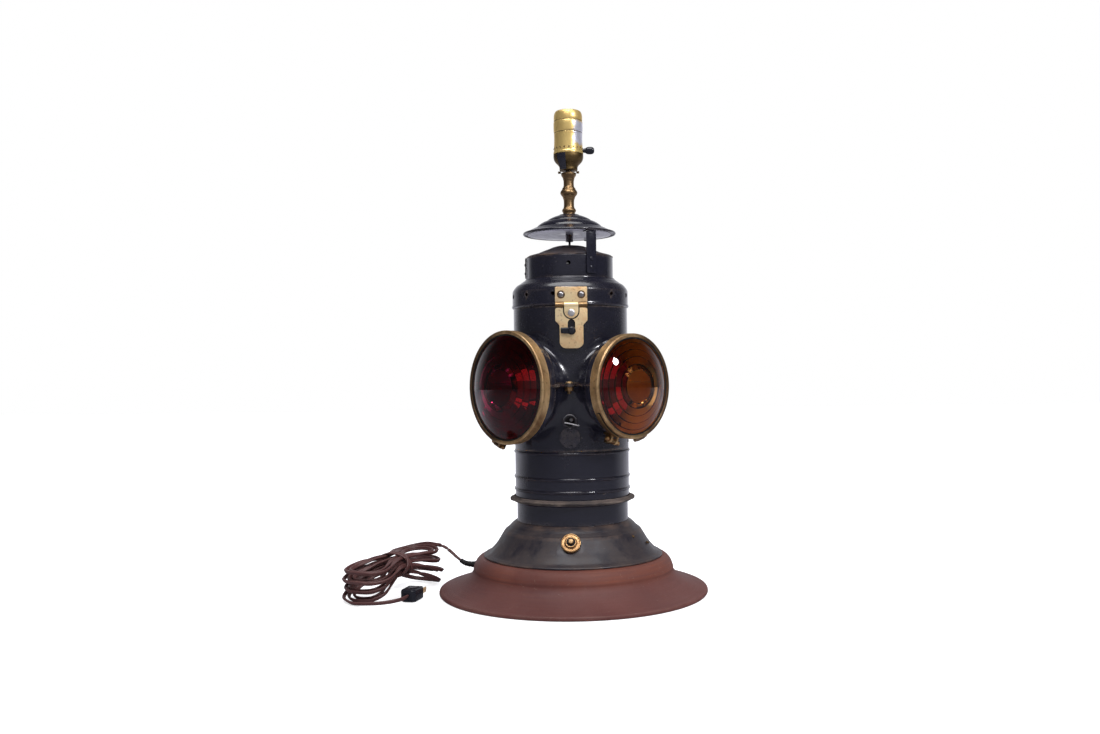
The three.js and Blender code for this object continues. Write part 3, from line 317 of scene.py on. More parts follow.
def make(node, shape, finish, name=None, sharp=32):
    return piece(mesh_of(name or f"{node}_made", shape), finish, node, sharp=sharp)


def trim(name, shape, finish, body, sharp=32):
    return piece(mesh_of(name, shape), finish, body=body, sharp=sharp)


# Node trees

def node(tree, kind, links=None, **settings):
    made = tree.nodes.new(kind)
    for key, value in settings.items():
        setattr(made, key, value)
    for socket, source in (links or {}).items():
        if isinstance(source, bpy.types.NodeSocket):
            tree.links.new(source, made.inputs[socket])
        else:
            made.inputs[socket].default_value = source
    return made


def calc(tree, operation, *values):
    return node(tree, "ShaderNodeMath", dict(enumerate(values)), operation=operation).outputs[0]


def ranged(tree, value, low, high, to_low=0.0, to_high=1.0):
    links = {"Value": value, "From Min": low, "From Max": high, "To Min": to_low, "To Max": to_high}
    return node(tree, "ShaderNodeMapRange", links).outputs["Result"]


def rgba(color):
    return color if isinstance(color, bpy.types.NodeSocket) else (*color, 1)


def tinted(tree, factor, first, second):
    links = {0: factor, 6: rgba(first), 7: rgba(second)}
    return node(tree, "ShaderNodeMix", links, data_type="RGBA").outputs[2]


def layered(tree, color, *layers):
    """Tones laid over a colour in turn, each where its mask says."""
    for mask, tone in layers:
        color = tinted(tree, mask, color, tone)
    return color


def axes(tree, vector=None):
    """The X, Y and Z of a vector, or of the point on the object."""
    vector = vector or node(tree, "ShaderNodeTexCoord").outputs["Object"]
    return node(tree, "ShaderNodeSeparateXYZ", {0: vector}).outputs


def group(name, kind, inputs, outputs):
    tree = bpy.data.node_groups.new(name, kind)
    for label, socket, value in inputs:
        made = tree.interface.new_socket(label, in_out="INPUT", socket_type=socket)
        if value is not None:
            made.default_value = value
    for label, socket in outputs:
        tree.interface.new_socket(label, in_out="OUTPUT", socket_type=socket)
    return tree, tree.nodes.new("NodeGroupInput").outputs, tree.nodes.new("NodeGroupOutput").inputs


FLOAT = "NodeSocketFloat"
SHAPE = "NodeSocketGeometry"


def noise(tree, scale, detail=4.0, roughness=0.55, vector=None, distortion=0.0, **settings):
    vector = vector or node(tree, "ShaderNodeTexCoord").outputs["Object"]
    links = {"Vector": vector, "Scale": scale, "Detail": detail, "Roughness": roughness,
             "Distortion": distortion}
    return node(tree, "ShaderNodeTexNoise", links, **settings)


def wear_group():
    """Dust that settles, edges rubbed bare, and hairline scratches."""
    inputs = [("Scale", FLOAT, 30), ("Dust", FLOAT, 0.3), ("Wear", FLOAT, 0.5), ("Scratch", FLOAT, 0.3)]
    tree, given, out = group("dust and wear", "ShaderNodeTree", inputs,
                             [("Dust", FLOAT), ("Wear", FLOAT), ("Scratch", FLOAT), ("Height", FLOAT)])
    coarse = noise(tree, given["Scale"], 3).outputs[0]
    fine = noise(tree, calc(tree, "MULTIPLY", given["Scale"], 11), 5, 0.65).outputs[0]
    geometry = node(tree, "ShaderNodeNewGeometry")
    up = axes(tree, geometry.outputs["Normal"])["Z"]
    lying = calc(tree, "MULTIPLY", calc(tree, "MAXIMUM", up, 0.0), 0.22)
    speckle = calc(tree, "ADD", calc(tree, "MULTIPLY", coarse, 0.62), calc(tree, "MULTIPLY", fine, 0.38))
    dust = ranged(tree, calc(tree, "ADD", speckle, lying), 0.46, 0.86)
    tree.links.new(calc(tree, "MULTIPLY", dust, given["Dust"]), out["Dust"])
    edge = ranged(tree, geometry.outputs["Pointiness"], 0.505, 0.56)
    patchy = ranged(tree, speckle, 0.42, 0.6)
    tree.links.new(calc(tree, "MULTIPLY", calc(tree, "MULTIPLY", edge, patchy), given["Wear"]), out["Wear"])
    line = noise(tree, calc(tree, "MULTIPLY", given["Scale"], 1.7), 2, 0.5, distortion=0.4).outputs[0]
    hair = ranged(tree, calc(tree, "ABSOLUTE", calc(tree, "SUBTRACT", line, 0.53)), 0.0, 0.0022, 1.0, 0.0)
    broken = ranged(tree, fine, 0.55, 0.62)
    tree.links.new(calc(tree, "MULTIPLY", calc(tree, "MULTIPLY", hair, broken), given["Scratch"]),
                   out["Scratch"])
    tree.links.new(speckle, out["Height"])
    return tree


def tarnish_group():
    """Cloudy tarnish with darker spots."""
    inputs = [("Scale", FLOAT, 60), ("Amount", FLOAT, 0.5), ("Spots", FLOAT, 0.5)]
    tree, given, out = group("tarnish", "ShaderNodeTree", inputs,
                             [("Cloud", FLOAT), ("Spots", FLOAT), ("Height", FLOAT)])
    cloud = noise(tree, given["Scale"], 5, 0.6, distortion=0.6).outputs[0]
    fine = noise(tree, calc(tree, "MULTIPLY", given["Scale"], 7), 4, 0.7).outputs[0]
    shade = ranged(tree, cloud, 0.36, 0.66)
    tree.links.new(calc(tree, "MULTIPLY", shade, given["Amount"]), out["Cloud"])
    spots = ranged(tree, fine, 0.56, 0.66)
    tree.links.new(calc(tree, "MULTIPLY", spots, given["Spots"]), out["Spots"])
    tree.links.new(calc(tree, "ADD", calc(tree, "MULTIPLY", cloud, 0.5), fine), out["Height"])
    return tree


def grain_group():
    """Turned wood: rings of streaks about the turning axis, with fine pores."""
    inputs = [("Streaks", FLOAT, 260), ("Pores", FLOAT, 900)]
    outputs = [("Streak", FLOAT), ("Pore", FLOAT), ("Broad", FLOAT)]
    tree, given, out = group("turned grain", "ShaderNodeTree", inputs, outputs)
    where = node(tree, "ShaderNodeTexCoord").outputs["Object"]
    x, y, z = axes(tree, where)
    radius = calc(tree, "SQRT", calc(tree, "ADD", calc(tree, "MULTIPLY", x, x), calc(tree, "MULTIPLY", y, y)))
    depth = calc(tree, "ADD", radius, calc(tree, "MULTIPLY", z, 0.8))
    for name, scale, across in (("Streak", given["Streaks"], 7.0), ("Pore", given["Pores"], 60.0)):
        links = {"Vector": where, "Scale": across, "Detail": 4.0, "Roughness": 0.6}
        made = node(tree, "ShaderNodeTexNoise", links, noise_dimensions="4D")
        tree.links.new(calc(tree, "MULTIPLY", depth, scale), made.inputs["W"])
        tree.links.new(made.outputs[0], out[name])
    tree.links.new(noise(tree, 9.0, 3, vector=where).outputs[0], out["Broad"])
    return tree


WEAR, TARNISH, GRAIN = wear_group(), tarnish_group(), grain_group()
BARE_SCRATCH = (0.30, 0.27, 0.24)
finishes = {}


def material(name, slot, **plain):
    made = bpy.data.materials.new(name)
    made.use_nodes = True
    tree = made.node_tree
    shader = tree.nodes["Principled BSDF"]
    for socket, value in plain.items():
        shader.inputs[socket.replace("_", " ")].default_value = value
    finishes[name] = (made, slot)
    return tree, shader


def use(tree, effect, **values):
    made = tree.nodes.new("ShaderNodeGroup")
    made.node_tree = effect
    for socket, value in values.items():
        made.inputs[socket].default_value = value
    return made.outputs


def wire(tree, shader, color, roughness=None, height=None, depth=0.0002):
    tree.links.new(color, shader.inputs["Base Color"])
    if roughness is not None:
        tree.links.new(roughness, shader.inputs["Roughness"])
    if height is not None:
        bump = node(tree, "ShaderNodeBump", {"Height": height, "Distance": depth, "Strength": 1.0})
        tree.links.new(bump.outputs[0], shader.inputs["Normal"])


def overlaid(tree, shader, mask, tone):
    """One more tone over a finish's base colour, where the mask says."""
    under = shader.inputs["Base Color"].links[0].from_socket
    tree.links.new(tinted(tree, mask, under, tone), shader.inputs["Base Color"])


def japan(name, slot, tones, gloss, dust, wear, scratch, scale=26, dents=0.00035, coat=0.5):
    """Japanned steel with dust, rubbed edges and scratches; tones for itself, the dust and the worn edges."""
    tree, shader = material(name, slot, Specular_IOR_Level=0.5, Coat_Weight=coat, Coat_Roughness=0.09)
    worn = use(tree, WEAR, Scale=scale, Dust=dust, Wear=wear, Scratch=scratch)
    color = layered(tree, tones[0], (worn["Dust"], tones[1]), (worn["Wear"], tones[2]),
                    (worn["Scratch"], BARE_SCRATCH))
    rough = ranged(tree, worn["Height"], 0.35, 0.65, gloss, gloss + 0.12)
    rough = calc(tree, "ADD", rough, calc(tree, "MULTIPLY", worn["Dust"], 0.8))
    dent = noise(tree, 14.0, 2, 0.4).outputs[0]
    height = calc(tree, "ADD", calc(tree, "MULTIPLY", dent, 4.0),
                  calc(tree, "MULTIPLY", worn["Height"], 0.25))
    wire(tree, shader, color, rough, height, dents)


def brass(name, slot, tones, rough, scale=55, amount=0.8, spots=0.5, wear=0.0, depth=0.00008, metal=1.0):
    """Brass with cloudy tarnish and spots, rubbed brighter at its edges; tones for itself and these two."""
    tree, shader = material(name, slot, Metallic=metal)
    shade = use(tree, TARNISH, Scale=scale, Amount=amount, Spots=spots)
    edges = use(tree, WEAR, Scale=scale, Dust=0.0, Wear=wear, Scratch=0.0)
    color = layered(tree, tones[0], (shade["Cloud"], tones[1]), (shade["Spots"], tones[2]),
                    (edges["Wear"], tones[0]))
    wire(tree, shader, color, ranged(tree, shade["Cloud"], 0.0, 1.0, rough, rough + 0.22), shade["Height"],
         depth)
    return tree, shader


def japanned_steel():
    black = (0.010, 0.010, 0.018), (0.055, 0.048, 0.048), (0.13, 0.10, 0.08)
    scuffed = (0.011, 0.011, 0.019), (0.070, 0.060, 0.056), (0.17, 0.13, 0.1)
    dusty = (0.014, 0.014, 0.023), (0.150, 0.100, 0.068), (0.17, 0.10, 0.065)
    rusty = (0.040, 0.033, 0.031), (0.19, 0.145, 0.12), (0.24, 0.19, 0.15)
    pale = (0.36, 0.36, 0.44), (0.22, 0.20, 0.22), (0.12, 0.10, 0.09)
    japan("black_japan", "black_japan", black, gloss=0.15, dust=0.05, wear=0.5, scratch=0.2)
    japan("scuffed_japan", "black_japan", scuffed, gloss=0.15, dust=0.09, wear=0.6, scratch=0.7, scale=34,
          dents=0.0005)
    japan("smooth_japan", "black_japan", black, gloss=0.15, dust=0.06, wear=0.0, scratch=0.5, scale=34)
    japan("dusty_japan", "dusty_japan", dusty, gloss=0.30, dust=0.36, wear=1.0, scratch=0.5, scale=50,
          dents=0.00025, coat=0.1)
    japan("worn_ring", "dusty_japan", rusty, gloss=0.5, dust=0.85, wear=1.0, scratch=0.2, scale=60,
          dents=0.0003, coat=0.0)
    japan("pale_metal", "pale_metal", pale, gloss=0.35, dust=0.5, wear=0.4, scratch=0.2)


def door_brass():
    """Old brass, with painted shade that makes it nearly black towards the lamp's left and right."""
    tones = (0.80, 0.54, 0.27), (0.27, 0.15, 0.07), (0.10, 0.055, 0.032)
    tree, shader = brass("aged_brass", "aged_brass", tones, rough=0.30, scale=30, amount=1.0, spots=0.4,
                         wear=0.9, metal=0.85)
    # Painted shade: the brass turns nearly black the farther it lies to the lamp's left or right.
    outer = calc(tree, "ABSOLUTE", axes(tree)[0])
    ragged = calc(tree, "MULTIPLY", noise(tree, 60.0, 4).outputs[0], 0.03)
    outer = ranged(tree, calc(tree, "ADD", outer, ragged), 0.092, 0.112, 0.0, 0.85)
    overlaid(tree, shader, outer, (0.10, 0.058, 0.036))


def small_metals():
    dark = (0.24, 0.15, 0.075), (0.07, 0.045, 0.03), (0.03, 0.022, 0.02)
    hasp_tones = (1.0, 0.80, 0.47), (0.78, 0.42, 0.17), (0.34, 0.15, 0.05)
    copper = (0.45, 0.29, 0.14), (0.23, 0.145, 0.075), (0.08, 0.055, 0.03)
    brown = (0.28, 0.185, 0.072), (0.12, 0.08, 0.035), (0.05, 0.035, 0.02)
    reddish = (0.60, 0.37, 0.17), (0.38, 0.20, 0.09), (0.18, 0.08, 0.04)
    grey = (0.50, 0.49, 0.50), (0.24, 0.22, 0.22), (0.10, 0.08, 0.06)
    light = (0.90, 0.89, 0.90), (0.70, 0.68, 0.66), (0.4, 0.36, 0.34)
    brass("dark_brass", "aged_brass", dark, rough=0.42, scale=60, amount=0.9, spots=0.6, wear=0.8)
    brass("hasp_brass", "hasp_brass", hasp_tones, rough=0.36, scale=38, amount=0.85, spots=0.55, wear=0.4,
          metal=0.6)
    brass("copper_brass", "copper_brass", copper, rough=0.32, scale=50, amount=0.9, spots=0.25, wear=0.6,
          depth=0.00004)
    brass("bronze", "copper_brass", brown, rough=0.34, scale=50, amount=0.9, spots=0.25, wear=0.5,
          depth=0.00004)
    brass("switch_copper", "copper_brass", reddish, rough=0.34, scale=90, amount=0.7, spots=0.4, wear=0.4)
    brass("steel", "steel", grey, rough=0.26, scale=120, amount=0.7, spots=0.4)
    brass("bright_steel", "steel", light, rough=0.36, scale=120, amount=0.4, spots=0.2)


def mahogany():
    """Dark stained wood, its flare duller than its side, with dust, rubbed edges and scratches."""
    tree, shader = material("mahogany", "mahogany", Specular_IOR_Level=0.26)
    grain = use(tree, GRAIN, Streaks=190.0, Pores=900.0)
    worn = use(tree, WEAR, Scale=22.0, Dust=0.2, Wear=0.5, Scratch=0.8)
    side = ranged(tree, axes(tree)[2], 0.022, 0.032)
    deep = tinted(tree, side, (0.090, 0.029, 0.027), (0.105, 0.028, 0.020))
    pale = tinted(tree, side, (0.145, 0.047, 0.040), (0.205, 0.056, 0.028))
    color = layered(tree, deep, (ranged(tree, grain["Broad"], 0.38, 0.62), pale),
                    (ranged(tree, grain["Streak"], 0.36, 0.68), (0.115, 0.038, 0.030)),
                    (ranged(tree, grain["Pore"], 0.55, 0.75, 0.0, 0.6), (0.040, 0.013, 0.011)),
                    (worn["Dust"], (0.180, 0.105, 0.095)), (worn["Wear"], (0.20, 0.12, 0.09)),
                    (worn["Scratch"], (0.34, 0.22, 0.18)))
    rough = ranged(tree, grain["Broad"], 0.3, 0.7, 0.46, 0.66)
    wire(tree, shader, color, rough,
         calc(tree, "ADD", grain["Streak"], calc(tree, "MULTIPLY", grain["Pore"], 0.4)), 0.0003)


def lens_glass():
    for name, tone in (("ruby_glass", (0.36, 0.012, 0.06)), ("amber_glass", (1.0, 0.46, 0.12))):
        tree, shader = material(name, name, Transmission_Weight=1.0, IOR=1.5, Roughness=0.03,
                                Base_Color=rgba(tone))
        smear = noise(tree, 45.0, 2).outputs[0]
        deeper = [0.82 * part for part in tone]
        rough = ranged(tree, noise(tree, 160.0, 4).outputs[0], 0.4, 0.75, 0.012, 0.05)
        wire(tree, shader, tinted(tree, ranged(tree, smear, 0.35, 0.7), tone, deeper), rough, smear, 0.00004)


def plain_finishes():
    tree, shader = material("tin", "pale_metal", Metallic=0.0, Roughness=0.45)
    cloudy = ranged(tree, noise(tree, 30.0, 4).outputs[0], 0.35, 0.65)
    wire(tree, shader, tinted(tree, cloudy, (0.64, 0.58, 0.49), (0.44, 0.39, 0.33)))
    for name, slot, tone, dust_tone, rough in (
            ("phenolic", "phenolic", (0.010, 0.011, 0.016), (0.025, 0.025, 0.030), 0.12),
            ("rubber", "phenolic", (0.008, 0.008, 0.009), (0.03, 0.027, 0.024), 0.55),
            ("cord", "cord", (0.085, 0.032, 0.030), (0.135, 0.065, 0.058), 0.34),
            ("porcelain", "pale_metal", (0.55, 0.53, 0.48), (0.35, 0.33, 0.3), 0.25)):
        tree, shader = material(name, slot, Specular_IOR_Level=0.42)
        worn = use(tree, WEAR, Scale=45.0, Dust=0.6, Wear=0.5, Scratch=0.2)
        color = tinted(tree, worn["Dust"], tone, dust_tone)
        wire(tree, shader, color, ranged(tree, worn["Height"], 0.35, 0.7, rough, rough + 0.2),
             worn["Height"], 0.00015)


def socket_brass():
    """Lacquered brass, with a painted highlight: a pale silvery band on the right front of the shell."""
    tones = (0.95, 0.70, 0.26), (0.66, 0.42, 0.13), (0.42, 0.26, 0.09)
    tree, shader = brass("socket_brass", "bright_brass", tones, rough=0.30, scale=40, amount=0.5, spots=0.08,
                         depth=0.00001, metal=0.72)
    # Painted highlight: a pale lavender-white band laid on the shell's right front.
    x, y, z = axes(tree)
    ragged = calc(tree, "MULTIPLY", noise(tree, 160.0, 4).outputs[0], 0.010)
    side = ranged(tree, calc(tree, "ADD", x, ragged), 0.0105, 0.0150)
    front = ranged(tree, y, 0.004, -0.002)
    foot = ranged(tree, calc(tree, "ADD", z, ragged), 0.5665, 0.5690)
    top = ranged(tree, calc(tree, "ADD", z, ragged), 0.5975, 0.5950)
    painted_highlight = calc(tree, "MULTIPLY", calc(tree, "MULTIPLY", side, front), calc(tree, "MULTIPLY", foot, top))
    overlaid(tree, shader, painted_highlight, (0.80, 0.80, 0.90))


# Geometry Nodes for what repeats

def heads_tree():
    """Round heads, such as rivets and dots, one on each point, each facing its own way."""
    tree, given, out = group("round heads", "GeometryNodeTree", [
        ("Places", SHAPE, None), ("Head radius", FLOAT, 0.002), ("Head height", FLOAT, 0.001),
        ("Finish", "NodeSocketMaterial", None)], [("Heads", SHAPE)])
    ball = node(tree, "GeometryNodeMeshUVSphere", {"Segments": 20, "Rings": 12, "Radius": 1.0})
    facing = node(tree, "GeometryNodeInputNamedAttribute", {"Name": "facing"}, data_type="FLOAT_VECTOR")
    aligned = node(tree, "FunctionNodeAlignRotationToVector", {"Vector": facing.outputs["Attribute"]},
                   axis="Z")
    across, high = given["Head radius"], given["Head height"]
    size = node(tree, "ShaderNodeCombineXYZ", {0: across, 1: across, 2: high})
    placed = node(tree, "GeometryNodeInstanceOnPoints",
                  {"Points": given["Places"], "Instance": ball.outputs["Mesh"],
                   "Rotation": aligned.outputs[0], "Scale": size.outputs[0]})
    real = node(tree, "GeometryNodeRealizeInstances", {0: placed.outputs[0]})
    coated = node(tree, "GeometryNodeSetMaterial", {"Geometry": real.outputs[0], "Material": given["Finish"]})
    tree.links.new(coated.outputs[0], out["Heads"])
    return tree


def holes_tree():
    """A ring of round holes drilled through a turned shell."""
    tree, given, out = group("ring of holes", "GeometryNodeTree", [
        ("Shell", SHAPE, None), ("Hole count", "NodeSocketInt", 12), ("Hole radius", FLOAT, 0.0024),
        ("Ring radius", FLOAT, 0.07), ("Ring height", FLOAT, 0.3), ("First angle", FLOAT, 0.0),
        ("Drill length", FLOAT, 0.01), ("Finish", "NodeSocketMaterial", None)], [("Drilled", SHAPE)])
    ring = node(tree, "GeometryNodeMeshCircle",
                {"Vertices": given["Hole count"], "Radius": given["Ring radius"]})
    bit = {"Vertices": 24, "Radius": given["Hole radius"], "Depth": given["Drill length"]}
    drill = node(tree, "GeometryNodeMeshCylinder", bit)
    place = node(tree, "GeometryNodeInputPosition").outputs[0]
    outward = node(tree, "FunctionNodeAlignRotationToVector", {"Vector": place}, axis="Z")
    drills = node(tree, "GeometryNodeInstanceOnPoints", {
        "Points": ring.outputs[0], "Instance": drill.outputs["Mesh"], "Rotation": outward.outputs[0]})
    rise = node(tree, "ShaderNodeCombineXYZ", {2: given["Ring height"]})
    round_z = node(tree, "ShaderNodeCombineXYZ", {2: given["First angle"]})
    lifted = node(tree, "GeometryNodeTransform", {
        "Geometry": drills.outputs[0], "Translation": rise.outputs[0], "Rotation": round_z.outputs[0]})
    real = node(tree, "GeometryNodeRealizeInstances", {0: lifted.outputs[0]})
    both = {"Mesh 1": given["Shell"], "Mesh 2": real.outputs[0]}
    drilled = node(tree, "GeometryNodeMeshBoolean", both, operation="DIFFERENCE", solver="EXACT")
    coated = node(tree, "GeometryNodeSetMaterial",
                  {"Geometry": drilled.outputs[0], "Material": given["Finish"]})
    tree.links.new(coated.outputs[0], out["Drilled"])
    return tree


def worked(obj, tree, values):
    """The tree's inputs are set by name, and its result becomes plain mesh."""
    step = obj.modifiers.new(tree.name, "NODES")
    step.node_group = tree
    for item in tree.interface.items_tree:
        if item.item_type == "SOCKET" and item.in_out == "INPUT" and item.name in values:
            step[item.identifier] = values[item.name]
    return settled(obj)


def heads(name, places, radius, height, finish, body):
    """Rivets, screws or dots at (position, direction) pairs."""
    mesh = bpy.data.meshes.new(name)
    mesh.from_pydata([tuple(MM * c for c in position) for position, _ in places], [], [])
    facing = mesh.attributes.new("facing", "FLOAT_VECTOR", "POINT")
    facing.data.foreach_set("vector", [float(c) for _, direction in places for c in direction])
    sizes = {"Head radius": radius * MM, "Head height": height * MM, "Finish": finishes[finish][0]}
    return piece(worked(placed(name, mesh), HEADS, sizes), finish, body=body)


def drilled(obj, finish, count, radius, ring, height, first, length=16):
    return worked(obj, HOLES, {
        "Hole count": count, "Hole radius": radius * MM, "Ring radius": ring * MM, "Ring height": height * MM,
        "First angle": math.radians(first), "Drill length": length * MM, "Finish": finishes[finish][0]})


def around(angle, radius, height, out=1.0, up=0.0):
    """A place on a turned wall and the way that it faces, the angle counted from the front to the right."""
    s, c = sin_cos(angle)
    return (s * radius, -c * radius, height), (s * out, -c * out, up)


# Camera, lights and stage

CAMERA_DISTANCE, CAMERA_HEIGHT = 1.297, 0.277      # metres
CAMERA_SIDE, CAMERA_ROLL = 1.6, -0.7               # degrees, the first to the right of the front
PHOTO_WIDTH = 1100                                 # pixels, in which the camera's shift is counted
PAPER, FLOOR_HALF, FLOOR_DROP = 0.86, 6.0, 0.0004


def camera():
    data = bpy.data.cameras.new("camera")
    data.sensor_width, data.lens = 36, 33.45
    data.shift_x, data.shift_y = -21 / PHOTO_WIDTH, 4 / PHOTO_WIDTH
    data.clip_start, data.clip_end = 0.01, 50
    s, c = sin_cos(CAMERA_SIDE)
    place = Matrix.Translation((CAMERA_DISTANCE * s, -CAMERA_DISTANCE * c, CAMERA_HEIGHT))
    aimed = place @ Matrix.Rotation(math.radians(CAMERA_SIDE), 4, "Z") @ Matrix.Rotation(math.pi / 2, 4, "X")
    scene.camera = placed("camera", data)
    scene.camera.matrix_world = aimed @ Matrix.Rotation(math.radians(CAMERA_ROLL), 4, "Z")


def soft_light(name, place, size, power, color, aim=(0, 0, 0.28)):
    data = bpy.data.lights.new(name, "AREA")
    data.shape, data.size, data.size_y = "ELLIPSE", size[0], size[1]
    data.energy, data.color = power, color
    obj = placed(name, data)
    obj.location = place
    obj.rotation_euler = (Vector(aim) - Vector(place)).to_track_quat("-Z", "Y").to_euler()


def lights():
    soft_light("right softbox", (1.2, -1.2, 1.36), (0.30, 0.36), 15, (0.96, 0.96, 1.0))
    soft_light("front softbox", (-0.1, -1.5, 2.2), (1.5, 0.6), 21, (0.96, 0.95, 1.0))
    soft_light("top softbox", (0.0, -0.3, 2.1), (1.8, 1.0), 18, (1, 1, 1))


def room():
    """White to the camera, else a room that is lighter behind the lamp and dimmer to gloss and glass."""
    scene.world = bpy.data.worlds.new("studio")
    scene.world.use_nodes = True
    tree = scene.world.node_tree
    path = node(tree, "ShaderNodeLightPath").outputs
    ways = axes(tree, node(tree, "ShaderNodeTexCoord").outputs["Generated"])
    front = ranged(tree, ways["Y"], -0.95, -0.6, 0.30, 0.07)
    rear = ranged(tree, ways["Y"], 0.5, 0.95, 0.0, 0.8)
    mirrored = calc(tree, "ADD", front, rear)
    mirrored = calc(tree, "MULTIPLY", mirrored, ranged(tree, ways["Z"], 0.12, 0.6, 1.0, 0.25))
    through = ranged(tree, path["Is Transmission Ray"], 0.0, 1.0, 1.0, 0.15)
    mirrored = calc(tree, "MULTIPLY", mirrored, through)
    inward = calc(tree, "MAXIMUM", path["Is Glossy Ray"], path["Is Transmission Ray"])
    inward = calc(tree, "MULTIPLY", inward, calc(tree, "LESS_THAN", path["Diffuse Depth"], 0.5))
    plain = calc(tree, "MULTIPLY", ranged(tree, ways["Y"], -0.8, 0.5, 0.2, 0.95),
                 calc(tree, "SUBTRACT", 1.0, inward))
    light = calc(tree, "ADD", plain, calc(tree, "MULTIPLY", mirrored, inward))
    tone = layered(tree, (0, 0, 0), (light, (0.93, 0.93, 1.0)), (path["Is Camera Ray"], (1, 1, 1)))
    tree.links.new(tone, tree.nodes["Background"].inputs["Color"])


def floor():
    """White paper under the lamp, darker towards the front where gloss and glass look at it."""
    sheet_mesh = bpy.data.meshes.new("floor")
    corners = [(x * FLOOR_HALF, y * FLOOR_HALF, 0) for x, y in ((-1, -1), (1, -1), (1, 1), (-1, 1))]
    sheet_mesh.from_pydata(corners, [], [[0, 1, 2, 3]])
    obj = placed("floor", sheet_mesh)
    obj.location.z = -FLOOR_DROP
    paper = bpy.data.materials.new("white paper")
    paper.use_nodes = True
    tree = paper.node_tree
    shader = tree.nodes["Principled BSDF"]
    shader.inputs["Roughness"].default_value = 0.9
    shader.inputs["Emission Color"].default_value = (1, 1, 1, 1)
    path = node(tree, "ShaderNodeLightPath").outputs
    depth = axes(tree, node(tree, "ShaderNodeNewGeometry").outputs["Position"])[1]
    mirrored = tinted(tree, ranged(tree, depth, 0.1, 1.1), (0.17, 0.17, 0.19), (0.75, 0.75, 0.8))
    indirect = calc(tree, "MAXIMUM", path["Is Glossy Ray"], path["Is Transmission Ray"])
    color = tinted(tree, indirect, (PAPER, PAPER, PAPER + 0.01), mirrored)
    tree.links.new(color, shader.inputs["Base Color"])
    tree.links.new(calc(tree, "MULTIPLY", path["Is Camera Ray"], 0.62), shader.inputs["Emission Strength"])
    sheet_mesh.materials.append(paper)


# Cord

CORD_WIDTH, CORE_RADIUS, TIE_CORE_RADIUS = 5.2, 1.5, 1.2
EXIT_HEADING, EXIT_RADIUS, EXIT_HEIGHT = 170, 128.6, 28.4
HANK_CENTRE, HANK_HEADING = (-226, -12), 63
HANK_STEP, HANK_LAYER_ANGLE, HANK_REACH = 6.2, 900, 78.5
HANK_HALF_LENGTH, HANK_HALF_WIDTH, HANK_LIFT = 63, 43, 24
PLUG_CENTRE, PLUG_HEADING = (-196, -56), 78
PLUG_LENGTH, PLUG_WIDTH, PLUG_HEIGHT = 28, 20, 15


def on_hank(a, b, z):
    s, c = sin_cos(HANK_HEADING)
    return np.array([HANK_CENTRE[0] + a * c + b * s, HANK_CENTRE[1] + a * s - b * c, z])


def eased_step(value, low, high):
    t = min(1, max(0, (value - low) / (high - low)))
    return t ** 3 * (t * (6 * t - 15) + 10)


def hank_point(angle):
    """A point of the figure of eight that the hank is wound in, its layers one on another."""
    s, c = sin_cos(angle)
    pinch = 0.9 * c * c
    heading = np.array([HANK_HALF_LENGTH * c, HANK_HALF_WIDTH * s * (3 * pinch - 1)])
    heading /= np.linalg.norm(heading)
    out = abs(((angle / HANK_LAYER_ANGLE) % 2) - 1) * HANK_LAYER_ANGLE / 360 * HANK_STEP
    a, b = s * HANK_HALF_LENGTH - heading[1] * out, c * HANK_HALF_WIDTH * (1 - pinch) + heading[0] * out
    layer = 3 - sum(eased_step(angle, HANK_LAYER_ANGLE * k - 90, HANK_LAYER_ANGLE * k + 90)
                    for k in (1, 2, 3))
    fan = (10 if a > 0 else 6) * (abs(a) / HANK_REACH) ** 1.5
    lift = HANK_LIFT * max(0, 1 - (a / HANK_REACH) ** 2) ** 2
    return on_hank(a, b, CORD_WIDTH / 2 + GAP + layer * (6 + fan) + lift)


def ahead_of(heading):
    s, c = sin_cos(heading)
    return np.array([c, s, 0])


def cord_route():
    """The cord's points from the base to the plug, the same as the solid's."""
    out, ahead = ahead_of(EXIT_HEADING), ahead_of(PLUG_HEADING)
    start = out * EXIT_RADIUS + np.array([0, 0, EXIT_HEIGHT])
    loops = [hank_point(angle) for angle in np.arange(80, 3500.1, 15)]
    turn_in = loops[1] - loops[0]
    turn_in /= np.linalg.norm(turn_in)
    end = np.array([*PLUG_CENTRE, PLUG_HEIGHT / 2]) - ahead * (PLUG_LENGTH / 2 + GAP)
    rise = ((-141, 26, 29.6), (-151, 31.6, 34.8), (-161, 37.8, 42), (-169.5, 43, 47.2))
    stretch = [start, start + out * CORD_WIDTH, *rise, loops[0] - turn_in * CORD_WIDTH]
    tail = [on_hank(*place)
            for place in ((-81.5, 4, 3), (-80, 20, 4), (-75, 35, 5), (-66, 46, 6), (-54, 52, 7))]
    return np.array([*stretch, *loops, *tail, end - ahead * CORD_WIDTH, end])


def twin_section(width, core):
    """The outline of two cores side by side."""
    middle = width / 2 - core
    right = [(middle + core * math.cos(t), core * math.sin(t)) for t in np.radians(np.linspace(-125, 125, 9))]
    return right + [(-x, -y) for x, y in right]


def easy_way(path, upward=0.35, reach=12):
    """The thin direction of a flat cord: towards each bend, and upwards where it runs straight."""
    bend = np.zeros_like(path)
    bend[1:-1] = path[2:] - 2 * path[1:-1] + path[:-2]
    steps = np.linalg.norm(np.diff(path, axis=0), axis=1).mean()
    bend = bend / steps ** 2 * 22 + np.array([0, 0, upward])
    kernel = np.hanning(2 * reach + 1)
    padded = np.vstack([bend[:1].repeat(reach, 0), bend, bend[-1:].repeat(reach, 0)])
    return np.stack([np.convolve(padded[:, k], kernel / kernel.sum(), "valid") for k in range(3)], axis=1)


